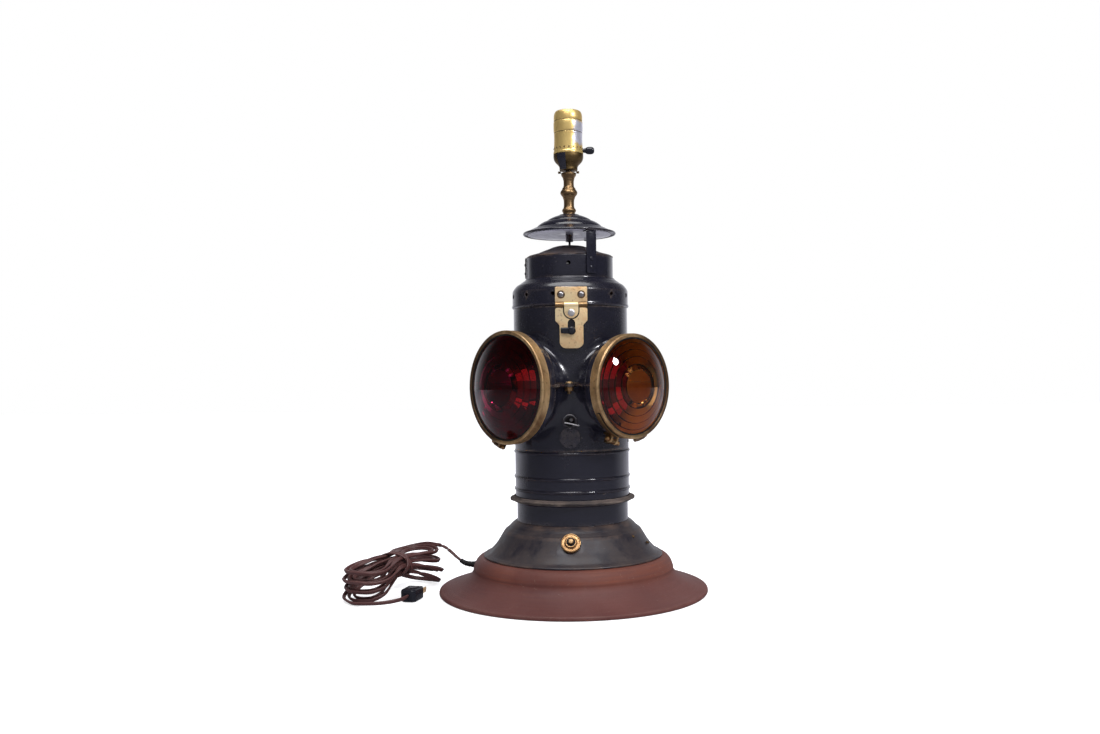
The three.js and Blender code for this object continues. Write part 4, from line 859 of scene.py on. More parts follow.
def even(path, step):
    """The same line with its points an even step apart."""
    along = np.concatenate([[0], np.cumsum(np.linalg.norm(np.diff(path, axis=0), axis=1))])
    places = np.linspace(0, along[-1], int(along[-1] / step) + 1)
    return np.stack([np.interp(places, along, path[:, k]) for k in range(3)], axis=1), along[-1]


def cord():
    path, length = even(flowing(cord_route(), 5), 2.2)
    run = mesh_of("lamp_cord", swept(path, twin_section(CORD_WIDTH, CORE_RADIUS), easy_way(path)))
    piece(run, "cord", "cord_stretch", "cord_hank", sharp=70)
    tie, plug = hank_tie(), plug_piece()
    relief(path)


def hank_tie():
    """Two turns of the same cord round the hank's waist."""
    half = [(0, 0), (15, 1.5), (23, 8), (24.5, 14), (20, 22), (10, 26.6)]
    waist = [(-23, 8), (-15, 1.5), *half, (0, 27.6), (-10, 26.6), (-20, 22), (-24.5, 14)]
    waist = flowing(waist, 6, closed=True)
    shapes = []
    for lean, at in ((7, -3.6), (-5, 3.4)):
        ring = np.array([on_hank(at + lean * (z - 13) / 13, b, z + 22) for b, z in waist])
        away = np.array([on_hank(0, b, z) - on_hank(0, 0, 13.8) for b, z in waist])
        shapes.append(swept(ring, twin_section(CORD_WIDTH, TIE_CORE_RADIUS), away, closed=True))
    return trim("hank_tie", joined(*shapes), "cord", "lamp_body", sharp=70)


def relief(path):
    """The bushing in the wood's side, with a sleeve that narrows along the cord."""
    place = turn(EXIT_HEADING) @ shift(0, 0, EXIT_HEIGHT) @ ALONG_X
    flange = moved(turned(eased([(0, 126.3), (5, 126.3), (4.6, 128.5), (0, 128.8)], 0.6), 32), place)
    stem = moved(rod(4.2, 114.3, 127), place)
    count = 11
    radii = np.interp(np.arange(count), [0, 1, 3, 10], [4.4, 4.1, 3.7, 3.0])
    rings = swept(path[:count], lambda i: circle(radii[i] * (0.94 if i % 2 else 1.0), 20),
                  np.tile([0, 0, 1.0], (count, 1)))
    make("cord_bushing", joined(flange, stem, rings), "rubber", sharp=60)


def plug_piece():
    half, nose, chamfer = PLUG_WIDTH / 2, PLUG_LENGTH / 2, 4
    heel = [(-nose, -half + chamfer), (-nose + chamfer, -half)]
    outline = [*heel, (nose, -half), (nose, half), (-nose + chamfer, half), (-nose, half - chamfer)]
    body = slab(eased(outline, 2.2, 4), 0, PLUG_HEIGHT, 2.4, 4)
    grips, edge = [], half + 0.25
    for x in (-6, -2.6, 0.8, 4.2):
        ridge = eased([(x, -edge), (x + 1.6, -edge), (x + 1.6, edge), (x, edge)], 0.5)
        grips.append(slab(ridge, 3, PLUG_HEIGHT - 3, 0.5))
    blades = []
    for middle in (-6.35, 6.35):
        blades.append(block((nose - 0.5, nose + 16), (middle - 0.75, middle + 0.75), (4.3, 10.7), 0.3, 0.6))
    place = shift(PLUG_CENTRE[0], PLUG_CENTRE[1], 0) @ turn(PLUG_HEADING)
    plug = make("plug", moved(joined(body, *grips), place), "phenolic")
    trim("plug_blades", moved(joined(*blades), place), "hasp_brass", "lamp_body").parent = plug
    return plug


# Base

WOOD_RADIUS, WOOD_SHOULDER, WOOD_TOP = 169, 126, 45.5
DOME_RADIUS, DOME_FOOT, DOME_TOP = 112, 45.8, 89.5
SWITCH_PLACE = shift(0, -89.4, 72.4) @ turn(90 - 30.6, "X")     # square to the dome's slope


def wood_base():
    shares = [[.985, .05], [.86, .10], [.6, .215], [.3, .44], [.12, .65], [.03, .83], [.003, .95]]
    flare = spread(shares, WOOD_SHOULDER, WOOD_RADIUS, 3, 30)
    shoulder = spread([[1, 0], [.85, .4], [.6, .75], [.3, .95], [0, 1]], 113, WOOD_SHOULDER, 31, WOOD_TOP)
    side = flowing([(WOOD_RADIUS - 1, 0), (WOOD_RADIUS, 1.4), *flare, *shoulder], 6)
    bore, floor_height = 60, 14
    profile = [(0, 0), *side, *eased([(bore, WOOD_TOP), (bore, floor_height), (0, floor_height)], 0.6)]
    make("wood_base", turned([(max(r, 0), z) for r, z in profile], 192), "mahogany", sharp=50)


def base_dome():
    rim = flowing([(DOME_RADIUS, 45.8), (112.6, 46.8), (112, 47.9), (110.2, 48.6)], 4)
    size = BODY_RADIUS, DOME_RADIUS, DOME_FOOT, DOME_TOP
    slope = [[.94, .075], [.86, .11], [.72, .235], [.6, .37], [.475, .55], [.40, .665]]
    rise = flowing(spread(slope, *size), 6)
    step = flowing(spread([[.34, .745], [.29, .775], [.26, .80], [.20, .845], [.15, .90]], *size), 4)
    outside = [*rim, *rise, *step, (73.6, 88.6), (BODY_RADIUS, DOME_TOP), (30, DOME_TOP), (8, DOME_TOP)]
    dome = mesh_of("base_dome_made", turned(sheet(outside, STEEL_WALL), 160))
    cut_from(dome, moved(rod(5.3, -12, 14, 0, 32), SWITCH_PLACE))
    piece(dome, "dusty_japan", "base_dome")
    screws = [around(58, 88.2, 74.3, 0.55, 0.84), around(75, 96.6, 63.3, 0.62, 0.78),
              around(-120, 92, 69, 0.6, 0.8), around(160, 92, 69, 0.6, 0.8)]
    heads("dome_screws", screws, 2.3, 1.3, "dark_brass", "lamp_body")


def base_switch():
    neck_ring = turned(eased([(3.8, -4), (5, -4), (5, 6.9), (3.8, 6.9)], 0.2), 32)
    body = joined(tube(13, 3.9, -23.4, -3.4, 1.2, 40), neck_ring)
    make("switch_body", moved(body, SWITCH_PLACE), "rubber")
    bowl = [(5.2, 0.8), (12, 0.8), (12, 3.7), (11.4, 4.5), (10.6, 4.7), (9.9, 4.2)]
    boss = [(7.6, 4.3), (7.2, 4.9), (6.9, 6.4), (6.2, 7.0), (5.2, 7.0)]
    points, faces = turned(eased([*bowl, *boss], 0.35, 2), 72)
    knurl = 1 - 0.022 * (np.hypot(points[:, 0], points[:, 1]) > 11.9) * (np.arange(len(points)) % 2)
    points[:, :2] *= knurl[:, None]
    make("switch_nut", moved((points, faces), SWITCH_PLACE), "switch_copper")
    button = turned([(0, -7.9), *eased([(3.4, -7.9), (3.4, 9.2), (2.6, 10.1), (0, 10.1)], 0.5)[:-1],
                     (0, 10.1)], 32)
    make("switch_button", moved(button, SWITCH_PLACE), "copper_brass")


# Body

CASE_FOOT, CASE_TOP, CASE_BEADS, TOP_BEAD = 89.8, 179.8, (130.3, 145.6), 176.9
SEAM_EAR, FLANGE = 81.5, 1.5
PEEP_HEIGHT, PEEP_STUD = 216.5, 206.5


def bead(radius, height, wide=4.2, high=1.5):
    """A raised line pressed round a turned wall."""
    return [(radius + high * math.sin(t) ** 1.3, height - wide / 2 * math.cos(t))
            for t in np.linspace(0, math.pi, 13)]


def lower_case():
    outside = [*[(70, z) for z in (CASE_FOOT, 91, 97, 103, 109)],
               *flowing([(70, 111.6), (70.3, 112.9), (71.4, 113.7), (BODY_RADIUS, 115)], 4)]
    for height in CASE_BEADS:
        beside = [(BODY_RADIUS, height + rise) for rise in (-4, -3, 3, 4)]
        outside += [*beside[:2], *bead(BODY_RADIUS, height), *beside[2:]]
    outside += [*[(BODY_RADIUS, z) for z in (155, 168, 174)], *bead(BODY_RADIUS, TOP_BEAD, 3.8, 1.5)]
    profile = [*outside, (BODY_RADIUS, CASE_TOP), (68.8, CASE_TOP), (68.8, CASE_FOOT)]
    make("lower_case", turned(profile, 192), "black_japan", sharp=50)
    lap = slab([(-7, 119.5), (7, 119.5), (7, 127.5), (-7, 127.5)], 71.5, 72.4, 0.25)
    trim("case_lap", moved(lap, turn(180), UPRIGHT), "black_japan", "lamp_body")


def drip_ring():
    """The rolled ring, a little dented all round."""
    foot = [(72.1, 114.6), (74.3, 114.6), (75.2, 115.9), (78.6, 116.7)]
    profile = eased([*foot, (78.8, 118.3), (75.4, 119.3), (74.2, 120.9), (72.1, 120.9)], 0.5, 3)
    points, faces = turned(profile, 192)
    angle = np.arctan2(points[:, 1], points[:, 0])
    outer = np.clip((np.hypot(points[:, 0], points[:, 1]) - 73) / 6, 0, 1)
    dents = 0.45 * np.sin(3 * angle + 0.7) + 0.22 * np.sin(11 * angle) + 0.12 * np.sin(23 * angle + 2)
    points[:, 2] += outer * dents
    make("drip_ring", (points, faces), "worn_ring", sharp=50)


DOORS = {"front_left": (68.25, -45, "ruby_glass"), "rear_right": (68.25, 135, "ruby_glass"),
         "front_right": (62.75, 45, "amber_glass"), "rear_left": (62.75, -135, "amber_glass")}
DOOR_BACK, COLLAR_FRONT, COLLAR_INSET, NECK_END = 98, 103, 2.1, 86
NECK_SHARES = ((0, .80), (.35, .79), (.8, .775), (.9, .83), (.955, .905), (1, .985))
NECK_LINE = flowing([*[(along * NECK_END, wide) for along, wide in NECK_SHARES], (90, 1), (110, 1)], 8)
FILLET = 9.0


def door_place(heading):
    s, c = sin_cos(heading)
    return np.array([[c, 0, s, 0], [s, 0, -c, 0], [0, 1, 0, LENS_HEIGHT], [0, 0, 0, 1.0]])


def neck_radius(radius, along):
    """The neck's radius at a distance from the lamp's middle, narrowest where it leaves the body."""
    return (radius - COLLAR_INSET) * np.interp(along, NECK_LINE[:, 0], NECK_LINE[:, 1])


def along_neck(points, heading):
    s, c = sin_cos(heading)
    return points[:, 0] * s - points[:, 1] * c


def melted(first, second):
    """The nearer of two surfaces, with a fillet where they meet."""
    share = np.clip(0.5 + 0.5 * (second - first) / FILLET, 0, 1)
    return second * (1 - share) + first * share - FILLET * share * (1 - share)


def body_wall(points):
    """How far points lie outside the pressed body with its four necks."""
    wall = np.hypot(points[:, 0], points[:, 1]) - BODY_RADIUS
    for radius, heading, _ in DOORS.values():
        s, c = sin_cos(heading)
        along = along_neck(points, heading)
        across = points[:, 0] * c + points[:, 1] * s
        neck = np.hypot(across, points[:, 2] - LENS_HEIGHT) - neck_radius(radius, along)
        wall = melted(wall, np.where(along > 25, neck, 60.0))
    return wall


def outward(points):
    """The way out of the body's wall at the points."""
    step = 0.15
    parts = []
    for k in range(3):
        move = np.zeros(3)
        move[k] = step
        parts.append((body_wall(points + move) - body_wall(points - move)) / (2 * step))
    return np.stack(parts, axis=1)


def onto_wall(points, rounds=4):
    for _ in range(rounds):
        slope = outward(points)
        away = body_wall(points) / np.maximum((slope ** 2).sum(1), 0.2)
        points = points - slope * np.clip(away, -2, 2)[:, None]
    return points


def body_blank():
    """The pressed body as one closed form, its points drawn onto the true wall."""
    low, high, reach = 172, 364, 110
    parts = [turned([(0, low), (BODY_RADIUS, low), (BODY_RADIUS, high), (0, high)], 96)]
    for radius, heading, _ in DOORS.values():
        neck = [(neck_radius(radius, along), along) for along in np.linspace(30, reach, 21)]
        parts.append(moved(turned([(0, 30), *neck, (0, reach)], 96), door_place(heading)))
    blank = mesh_of("body_blank", joined(*parts))
    step = blank.modifiers.new("fused", "REMESH")
    step.mode, step.voxel_size = "VOXEL", 1.9 * MM
    settled(blank)
    work = bmesh.new()
    work.from_mesh(blank.data)
    bpy.data.objects.remove(blank)
    for _ in range(3):
        points = points_of(work)
        held = (points[:, 2] < low + 1.5) | (points[:, 2] > high - 1.5)
        for _, heading, _ in DOORS.values():
            held |= along_neck(points, heading) > reach - 1.5
        draw_onto_wall(work, held)
        free = [vert for vert, still in zip(work.verts, held) if not still]
        bmesh.ops.smooth_vert(work, verts=free, factor=0.5, use_axis_x=True, use_axis_y=True, use_axis_z=True)
    draw_onto_wall(work, held)
    trimmed(work, (0, 0, CASE_TOP + GAP), (0, 0, -1))
    trimmed(work, (0, 0, 355.5), (0, 0, 1))
    for _, heading, _ in DOORS.values():
        way = door_place(heading)[:3, 2]
        trimmed(work, way * COLLAR_FRONT + np.array([0, 0, LENS_HEIGHT]), way)
    return work


def points_of(work):
    return np.array([vert.co[:] for vert in work.verts]) / MM


def draw_onto_wall(work, held):
    points = points_of(work)
    drawn = np.where(held[:, None], points, onto_wall(points))
    for vert, place in zip(work.verts, drawn):
        vert.co = Vector(place * MM)


def trimmed(work, place, way):
    geometry = [*work.verts, *work.edges, *work.faces]
    bmesh.ops.bisect_plane(work, geom=geometry, plane_co=Vector(place) * MM, plane_no=Vector(way),
                           clear_outer=True)


def seam_lines(work):
    """The chains of points where the lower half ends, from one door's collar to the next."""
    edges = [edge for edge in work.edges if edge.is_boundary
             and all(abs(vert.co.z / MM - SEAM_HEIGHT) < 0.01 for vert in edge.verts)]
    beside = {}
    for edge in edges:
        for here, there in (edge.verts, reversed(edge.verts)):
            beside.setdefault(here, []).append(there)
    chains, used = [], set()
    for start in [vert for vert, others in beside.items() if len(others) == 1]:
        if start in used:
            continue
        chain = [start]
        used.add(start)
        while True:
            onward = [vert for vert in beside[chain[-1]] if vert not in used]
            if not onward:
                break
            chain.append(onward[0])
            used.add(onward[0])
        chains.append(np.array([vert.co[:] for vert in chain]) / MM)
    return chains


def seam_flange(chains, low, name):
    """A half's flange: a strip along the seam between the collars, and the two ears that the bolts hold."""
    high = low + FLANGE
    section = eased([(-0.8, low), (4.5, low), (4.5, high), (-0.8, high)], 0.45, 2)
    shapes = []
    for chain in chains:
        reach = np.max([along_neck(chain, heading) for _, heading, _ in DOORS.values()], axis=0)
        line, _ = even(chain[reach < 94], 2.5)
        slope = outward(line)
        slope[:, 2] = 0
        slope /= np.linalg.norm(slope, axis=1)[:, None]
        rings = []
        for point, way in zip(line, slope):
            rings.append(np.array([[*(point[:2] + way[:2] * wide), height] for wide, height in section]))
        shapes.append(stacked(rings))
    ears = [moved(rod(7, low, high, 0.4), shift(0, side * SEAM_EAR, 0)) for side in (-1, 1)]
    trim(name, joined(*shapes, *ears), "scuffed_japan", "lamp_body")


def lens_body():
    whole = body_blank()
    lower, upper = whole.copy(), whole.copy()
    whole.free()
    trimmed(lower, (0, 0, SEAM_HEIGHT), (0, 0, 1))
    trimmed(upper, (0, 0, SEAM_HEIGHT + GAP), (0, 0, -1))
    chains = seam_lines(lower)
    for half, name in ((lower, "lens_body_lower"), (upper, "lens_body_upper")):
        bmesh.ops.recalc_face_normals(half, faces=half.faces)
        mesh = bpy.data.meshes.new(f"{name}_made")
        half.to_mesh(mesh)
        half.free()
        obj = placed(f"{name}_made", mesh)
        wall = obj.modifiers.new("wall", "SOLIDIFY")
        wall.thickness, wall.offset = STEEL_WALL * MM, -1
        settled(obj)
        if half is lower:
            cut_from(obj, moved(rod(6, 60, 90, 0), shift(0, 0, PEEP_HEIGHT), UPRIGHT))
        piece(obj, "scuffed_japan", name, sharp=50)
        obj.data.materials.append(finishes["tin"][0])
        middles = np.array([side.center[:] for side in obj.data.polygons]) / MM
        inside = (body_wall(middles) < -0.9).astype(int)
        obj.data.polygons.foreach_set("material_index", inside.tolist())
    seam_flange(chains, SEAM_HEIGHT - FLANGE, "lower_seam_flange")
    seam_flange(chains, SEAM_HEIGHT + GAP, "upper_seam_flange")
    for end, side in (("front", -1), ("rear", 1)):
        place = shift(0, side * SEAM_EAR, 0)
        make(f"seam_bolt_{end}", moved(joined(domed(4.6, 262.1, 265.1), rod(2.4, 249.7, 263)), place),
             "copper_brass")
        nut = slab(eased(circle(5.5, 6), 0.5), 253.2, 258.2, 0.5)
        make(f"seam_nut_{end}", moved(nut, place, turn(12)), "switch_copper")


def peephole():
    """The hole's rim and what shows in it, the boss of the cover's stud, and the body's lower rivets."""
    hole = shift(0, 0, PEEP_HEIGHT) @ UPRIGHT
    boss = moved(tube(3.3, 1.8, 68, 74, 0.3), shift(0, 0, PEEP_STUD), UPRIGHT)
    trim("peep_boss", boss, "black_japan", "lamp_body")
    trim("peep_rim", moved(tube(8.7, 6.2, 69, 73.6, 0.6), hole), "black_japan", "lamp_body")
    angles = np.radians(np.linspace(20, 165, 16))
    curl = [(8.1 * math.cos(t), -73.7, PEEP_HEIGHT + 8.1 * math.sin(t)) for t in angles]
    trim("peep_curl", swept(curl, circle(0.55, 12), [(0, -1, 0)] * 16), "steel", "lamp_body")
    # A dark disc filling the hole: painted shade for the dark inside seen through it.
    trim("peep_shade", moved(rod(6.2, 66.5, 67.5), hole), "rubber", "lamp_body")
    trim("peep_button", moved(domed(2.6, 67.5, 69.5), shift(1.5, 0, 218.5), UPRIGHT), "steel", "lamp_body")
    radii = 1.3, 0.85, 0.8
    line = [(-6.5, -77.0, 215.5), (-3.5, -76.6, 214.8), (11, -76.5, 211.5)]
    bar = swept(line, lambda i: circle(radii[i], 16), [(0, -1, 0)] * 3)
    trim("peep_bar", bar, "bright_steel", "lamp_body")
    rows = [around(k * 90 + aside, BODY_RADIUS - 0.4, 188.5) for k in range(4) for aside in (-9, 9)]
    heads("body_rivets", rows[2:], 1.9, 1.3, "black_japan", "lamp_body")


def peep_cover():
    place = shift(0, -74.3, PEEP_STUD) @ UPRIGHT
    disc = slab(circle(12.5, 48, (0, -9.5)), 0, 1, 0.3)
    head = domed(3, 0.6, 2.8)
    stud = rod(1.5, -3, 1.2)
    lip = slab(oblong(3, -21.2, -18.5, 0.6), 0.6, 2.2, 0.4)
    make("peep_cover", moved(joined(disc, head, stud, lip), place), "black_japan")


# Lens doors

LENS_BACK, LENS_SEAT, LENS_CROWN, LENS_INSET = 104.2, 107.6, 20, 1.9
# Each step's radii in shares of the lens's, and its heights in shares of the crown
LENS_STEPS = ((.94, .82, .03, .10), (.82, .68, .05, .16), (.68, .54, .09, .22), (.54, .40, .14, .30),
              (.40, .31, .20, .38))
# Painted shade in the corners of the lens's steps: each ring's radius share, and its foot and top in shares
# of the crown
STEP_SHADE_RINGS = ((.82, .05, .10), (.68, .09, .16), (.54, .14, .22), (.40, .20, .30), (.31, .31, .38))
HINGE_TURN, HINGE_REACH, HINGE_DEPTH = turn(-22), 6.5, 97


def lens_shape(radius):
    """A domed lens, stepped on its inner side."""
    rim, edge = radius - LENS_INSET, radius - 4.85
    ball = (edge ** 2 + LENS_CROWN ** 2) / (2 * LENS_CROWN)
    middle = LENS_SEAT + LENS_CROWN - ball
    top = [(r, middle + math.sqrt(ball ** 2 - r ** 2)) for r in edge * np.linspace(1, 0, 25)]
    inner = []
    for outer_share, inner_share, low, high in LENS_STEPS:
        inner += [(outer_share * rim, LENS_BACK + low * LENS_CROWN),
                  (inner_share * rim + 0.6, LENS_BACK + high * LENS_CROWN)]
    inner += [(.30 * rim, LENS_BACK + .30 * LENS_CROWN), (0, LENS_BACK + .30 * LENS_CROWN)]
    outside = [*inner[::-1], (rim, LENS_BACK), (rim, LENS_SEAT), *top]
    return turned([(max(r, 0), z) for r, z in outside], 144)


def step_lines(radius):
    """Dark rings of painted shade in the corners of the lens's steps."""
    rings = []
    for share, low, high in STEP_SHADE_RINGS:
        inner, foot = share * (radius - LENS_INSET), LENS_BACK + low * LENS_CROWN
        rings.append(tube(inner + 0.75, inner + 0.1, foot, LENS_BACK + high * LENS_CROWN - 0.2, 0.1, 96))
    return joined(*rings)


def door_ring(radius):
    skirt, lip = radius - 1.6, radius - 4.25
    roll = [(radius, 100.4), (radius + 0.05, 106.2), (radius + 0.35, 107.6), (radius + 0.1, 109.2),
            (radius - 1.1, 110)]
    roll = flowing([*roll, (lip + 0.7, 109.75), (lip, 109.0)], 5)
    back = [(skirt, DOOR_BACK), (radius + 0.1, DOOR_BACK), (radius + 0.25, 98.9), (radius, 99.8)]
    return turned([*back, *roll, (lip, 108.0), (lip + 0.3, 107.9), (skirt, 107.9)], 160)


def barrel(low, high, reach):
    return moved(tube(3.6, 1.8, low, high, 0.3, 32), shift(0, -reach, HINGE_DEPTH), ALONG_X)


def door_ears(radius, reach):
    """The door's two barrels with the tabs that join them to its skirt."""
    ears = []
    for low, high in ((3.3, 6.1), (-6.1, -3.3)):
        ears += [barrel(low, high, reach), block((low, high), (-reach, 1.6 - radius - 1), (98, 100.6), 0.3)]
    return joined(*ears)


def door_bracket(reach, wall, half=3):
    """The body's side of the hinge: a barrel, a web and a foot bent round the neck."""
    web = block((-half, half), (-reach - 3.0, -wall), (86.4, 95.2), 0.5)
    bent = []
    for radius, start, end in ((wall, -1, 1), (wall + 2.6, 1, -1)):
        bent += [(math.sin(a) * radius, -math.cos(a) * radius) for a in np.linspace(start, end, 7) * 6 / wall]
    foot = [np.array([[x, y, z] for x, y in bent]) for z in np.linspace(86.1, 93.1, 4)]
    return joined(barrel(-half, half, reach), web, stacked(foot))


def hinge_pin(reach_out=9.3, ball_radius=2.9):
    """A pin with a ball at each end."""
    half_turn = np.linspace(0, math.pi, 13)
    points, faces = turned([(ball_radius * math.sin(t), -ball_radius * math.cos(t)) for t in half_turn], 24)
    points[:, :2] *= (np.hypot(points[:, 0], points[:, 1]) > 1e-3)[:, None]
    balls = [moved((points, faces), shift(side * reach_out, 0, 0)) for side in (-1, 1)]
    return joined(moved(rod(1.5, -reach_out, reach_out), ALONG_X), *balls)


def lens_doors():
    for name, (radius, heading, glass) in DOORS.items():
        place, body, reach = door_place(heading), f"door_{name}", radius + HINGE_REACH
        hinge = place @ HINGE_TURN
        # Painted shade: the front left door's strap and bracket take the darker brass, for the shade on the
        # lamp's left.
        metal = "dark_brass" if name == "front_left" else "copper_brass"
        ring = joined(moved(door_ring(radius), place), moved(door_ears(radius, reach), hinge))
        make(f"door_ring_{name}", ring, "aged_brass", sharp=40)
        lip = radius - 4.3
        # A dark ring under the door's lip: painted shadow in the gap between the lens and the lip.
        lip_shadow = turned(eased([(lip - 2.3, 107.2), (lip, 107.2), (lip, 108.5), (lip - 2.3, 108.0)], 0.3), 128)
        trim(f"gasket_{name}", moved(lip_shadow, place), "rubber", body)
        trim(f"hinge_strap_{name}", hinge_strap(radius, heading), metal, body)
        # A dark band a little wider than the strap, beneath it: painted shadow round the strap.
        trim(f"strap_shadow_{name}", hinge_strap(radius, heading, 3.7, 0.05, 1.2), "rubber", body)
        make(f"lens_{name}", moved(lens_shape(radius), place), glass, sharp=28)
        if glass == "amber_glass":
            trim(f"step_lines_{name}", moved(step_lines(radius), place), "rubber", body)
        make(f"lens_bracket_{name}", moved(door_bracket(reach, radius - COLLAR_INSET + GAP), hinge), metal)
        make(f"lens_pin_{name}", moved(hinge_pin(), hinge, shift(0, -reach, HINGE_DEPTH)), "switch_copper")


def hinge_strap(radius, heading, half_width=2.7, foot=1.1, top=2.7):
    """A thin strap round the door's skirt, beside the hinge, with rounded ends."""
    rings, count, middle, ends = [], 28, 103.2, 4
    low, edge, high = radius + foot, radius + top - 0.2, radius + top
    for k, angle in enumerate(np.linspace(-151, -112, count)):
        share = min(1, (k + 1) / ends, (count - k) / ends)
        half = half_width * math.sqrt(max(0.05, 1 - (1 - share) ** 2))
        section = [(low, middle - half), (edge, middle - half), (high, middle), (edge, middle + half),
                   (low, middle + half)]
        s, c = sin_cos(angle)
        rings.append(np.array([[r * c, r * s, z] for r, z in section]))
    return moved(stacked(rings), door_place(heading))


# Lid, chimney and smoke cap

VENTS, VENT_HEIGHT = 12, 370.8
LID_TOP, DRUM_RADIUS, DRUM_BORE, DRUM_HOLES = 391.3, 54.6, 53.4, 409
ROOF_FOOT, ROOF_TOP = 419.9, 435.1
STRAP_HALF, STRAP_ANGLES, BROKEN_STRAP = 6.7, (30, 150), -90


def lid():
    shares = [[1, 0], [.93, .18], [.67, .53], [.42, .7], [.12, .93], [0, 1]]
    shoulder = flowing(spread(shares, 57, LID_RADIUS, 376.3, LID_TOP), 5)
    hem = flowing([(72.2, 355.8), (73.4, 356.6), (73.9, 358.2), (73.3, 359.6), (LID_RADIUS, 360.6)], 4)
    ledge = flowing([(57, LID_TOP), (56.6, 392.6), (55.6, 392.9), (54.9, 392.2), (54.7, 391.4)], 3)
    band = [(LID_RADIUS, z) for z in (364, 367.4, VENT_HEIGHT, 374.2)]
    outside = [*hem, *band, *shoulder[:-1], *ledge, (DRUM_BORE, LID_TOP)]
    shell = mesh_of("lid_shell_made", turned(sheet(outside, STEEL_WALL), 192))
    drilled(shell, "black_japan", VENTS, 2.4, 72, VENT_HEIGHT, 15)
    piece(shell, "black_japan", "lid_shell", sharp=50)
    rims = []
    for angle in [15 + 30 * k for k in range(VENTS)]:
        place, _ = around(angle, LID_RADIUS + 0.02, VENT_HEIGHT)
        rims.append(moved(tube(3.0, 2.35, -0.4, 0.35, 0.15, 24), shift(*place), turn(angle), UPRIGHT))
    trim("vent_rims", joined(*rims), "black_japan", "lid")


def chimney():
    wall = [(DRUM_RADIUS, z) for z in (391.6, 392.6, 396, 402, 409, 414, 417.4, 418.6)]
    drum = [*wall, (54.2, 419.6), (DRUM_BORE, 419.6), (DRUM_BORE, 391.6)]
    drum = mesh_of("chimney_drum_made", turned(drum, 160))
    drilled(drum, "black_japan", 4, 2.5, 54, DRUM_HOLES, 0)
    piece(drum, "black_japan", "chimney_drum", sharp=50)
    section = ((54.5, 392.6), (55.1, 392.8), (55.25, 394), (55.25, 417.5), (55.1, 418.8), (54.5, 419))
    wrap = []
    for angle in np.linspace(-20.5, 22, 36):
        s, c = sin_cos(angle)
        wrap.append(np.array([[r * s, -r * c, z] for r, z in section]))
    wrap = mesh_of("drum_wrap", stacked(wrap))
    cut_from(wrap, moved(rod(2.7, 50, 60, 0), shift(0, 0, DRUM_HOLES), UPRIGHT))
    piece(wrap, "smooth_japan", body="lid")
    shares = [[.985, .06], [.96, .13], [.82, .25], [.69, .36], [.52, .555], [.38, .7], [.22, .885],
              [.1, .975], [0, 1]]
    curve = flowing(spread(shares, 12, DRUM_RADIUS, ROOF_FOOT, ROOF_TOP), 5)
    roof = sheet([(DRUM_RADIUS, ROOF_FOOT), (54.9, 420.5), *curve], STEEL_WALL)
    make("drum_roof", turned(roof, 160), "dusty_japan", sharp=50)
    cap_straps()


def cap_straps():
    """The two straps that carry the cap, and the stub of a third."""
    for name, angle in zip(("cap_strap_right", "cap_strap_rear"), STRAP_ANGLES):
        place, edges = turn(angle), (-STRAP_HALF, STRAP_HALF)
        upright = moved(slab(oblong(STRAP_HALF, 396.6, 448.2, 1.6), 54.9, 56.4, 0.35), place, UPRIGHT)
        tab = moved(block(edges, (-56.4, -46.4), (447.3, 448.8), 0.3, 1.0), place)
        bend = moved(rod(1.2, *edges, 0.2, 16), place, shift(0, -55.5, 447.8), ALONG_X)
        make(name, joined(upright, tab, bend), "smooth_japan")
    rivets = [around(angle, 56.3, z) for angle in STRAP_ANGLES for z in (403.7, 414.2)]
    heads("strap_rivets", rivets, 2.2, 1.3, "black_japan", "lid")
    torn = [(STRAP_HALF, 418.6), (3.5, 420.6), (0.5, 419.2), (-3, 421), (-STRAP_HALF, 419.8)]
    stub = slab(eased([(-STRAP_HALF, 394.5), (STRAP_HALF, 394.5), *torn], 0.7), 54.9, 56.3, 0.35)
    trim("broken_strap", moved(stub, turn(BROKEN_STRAP), UPRIGHT), "black_japan", "lid")
    heads("stub_rivets", [around(BROKEN_STRAP, 56.3, z) for z in (401, 412)], 2.2, 1.3, "black_japan", "lid")


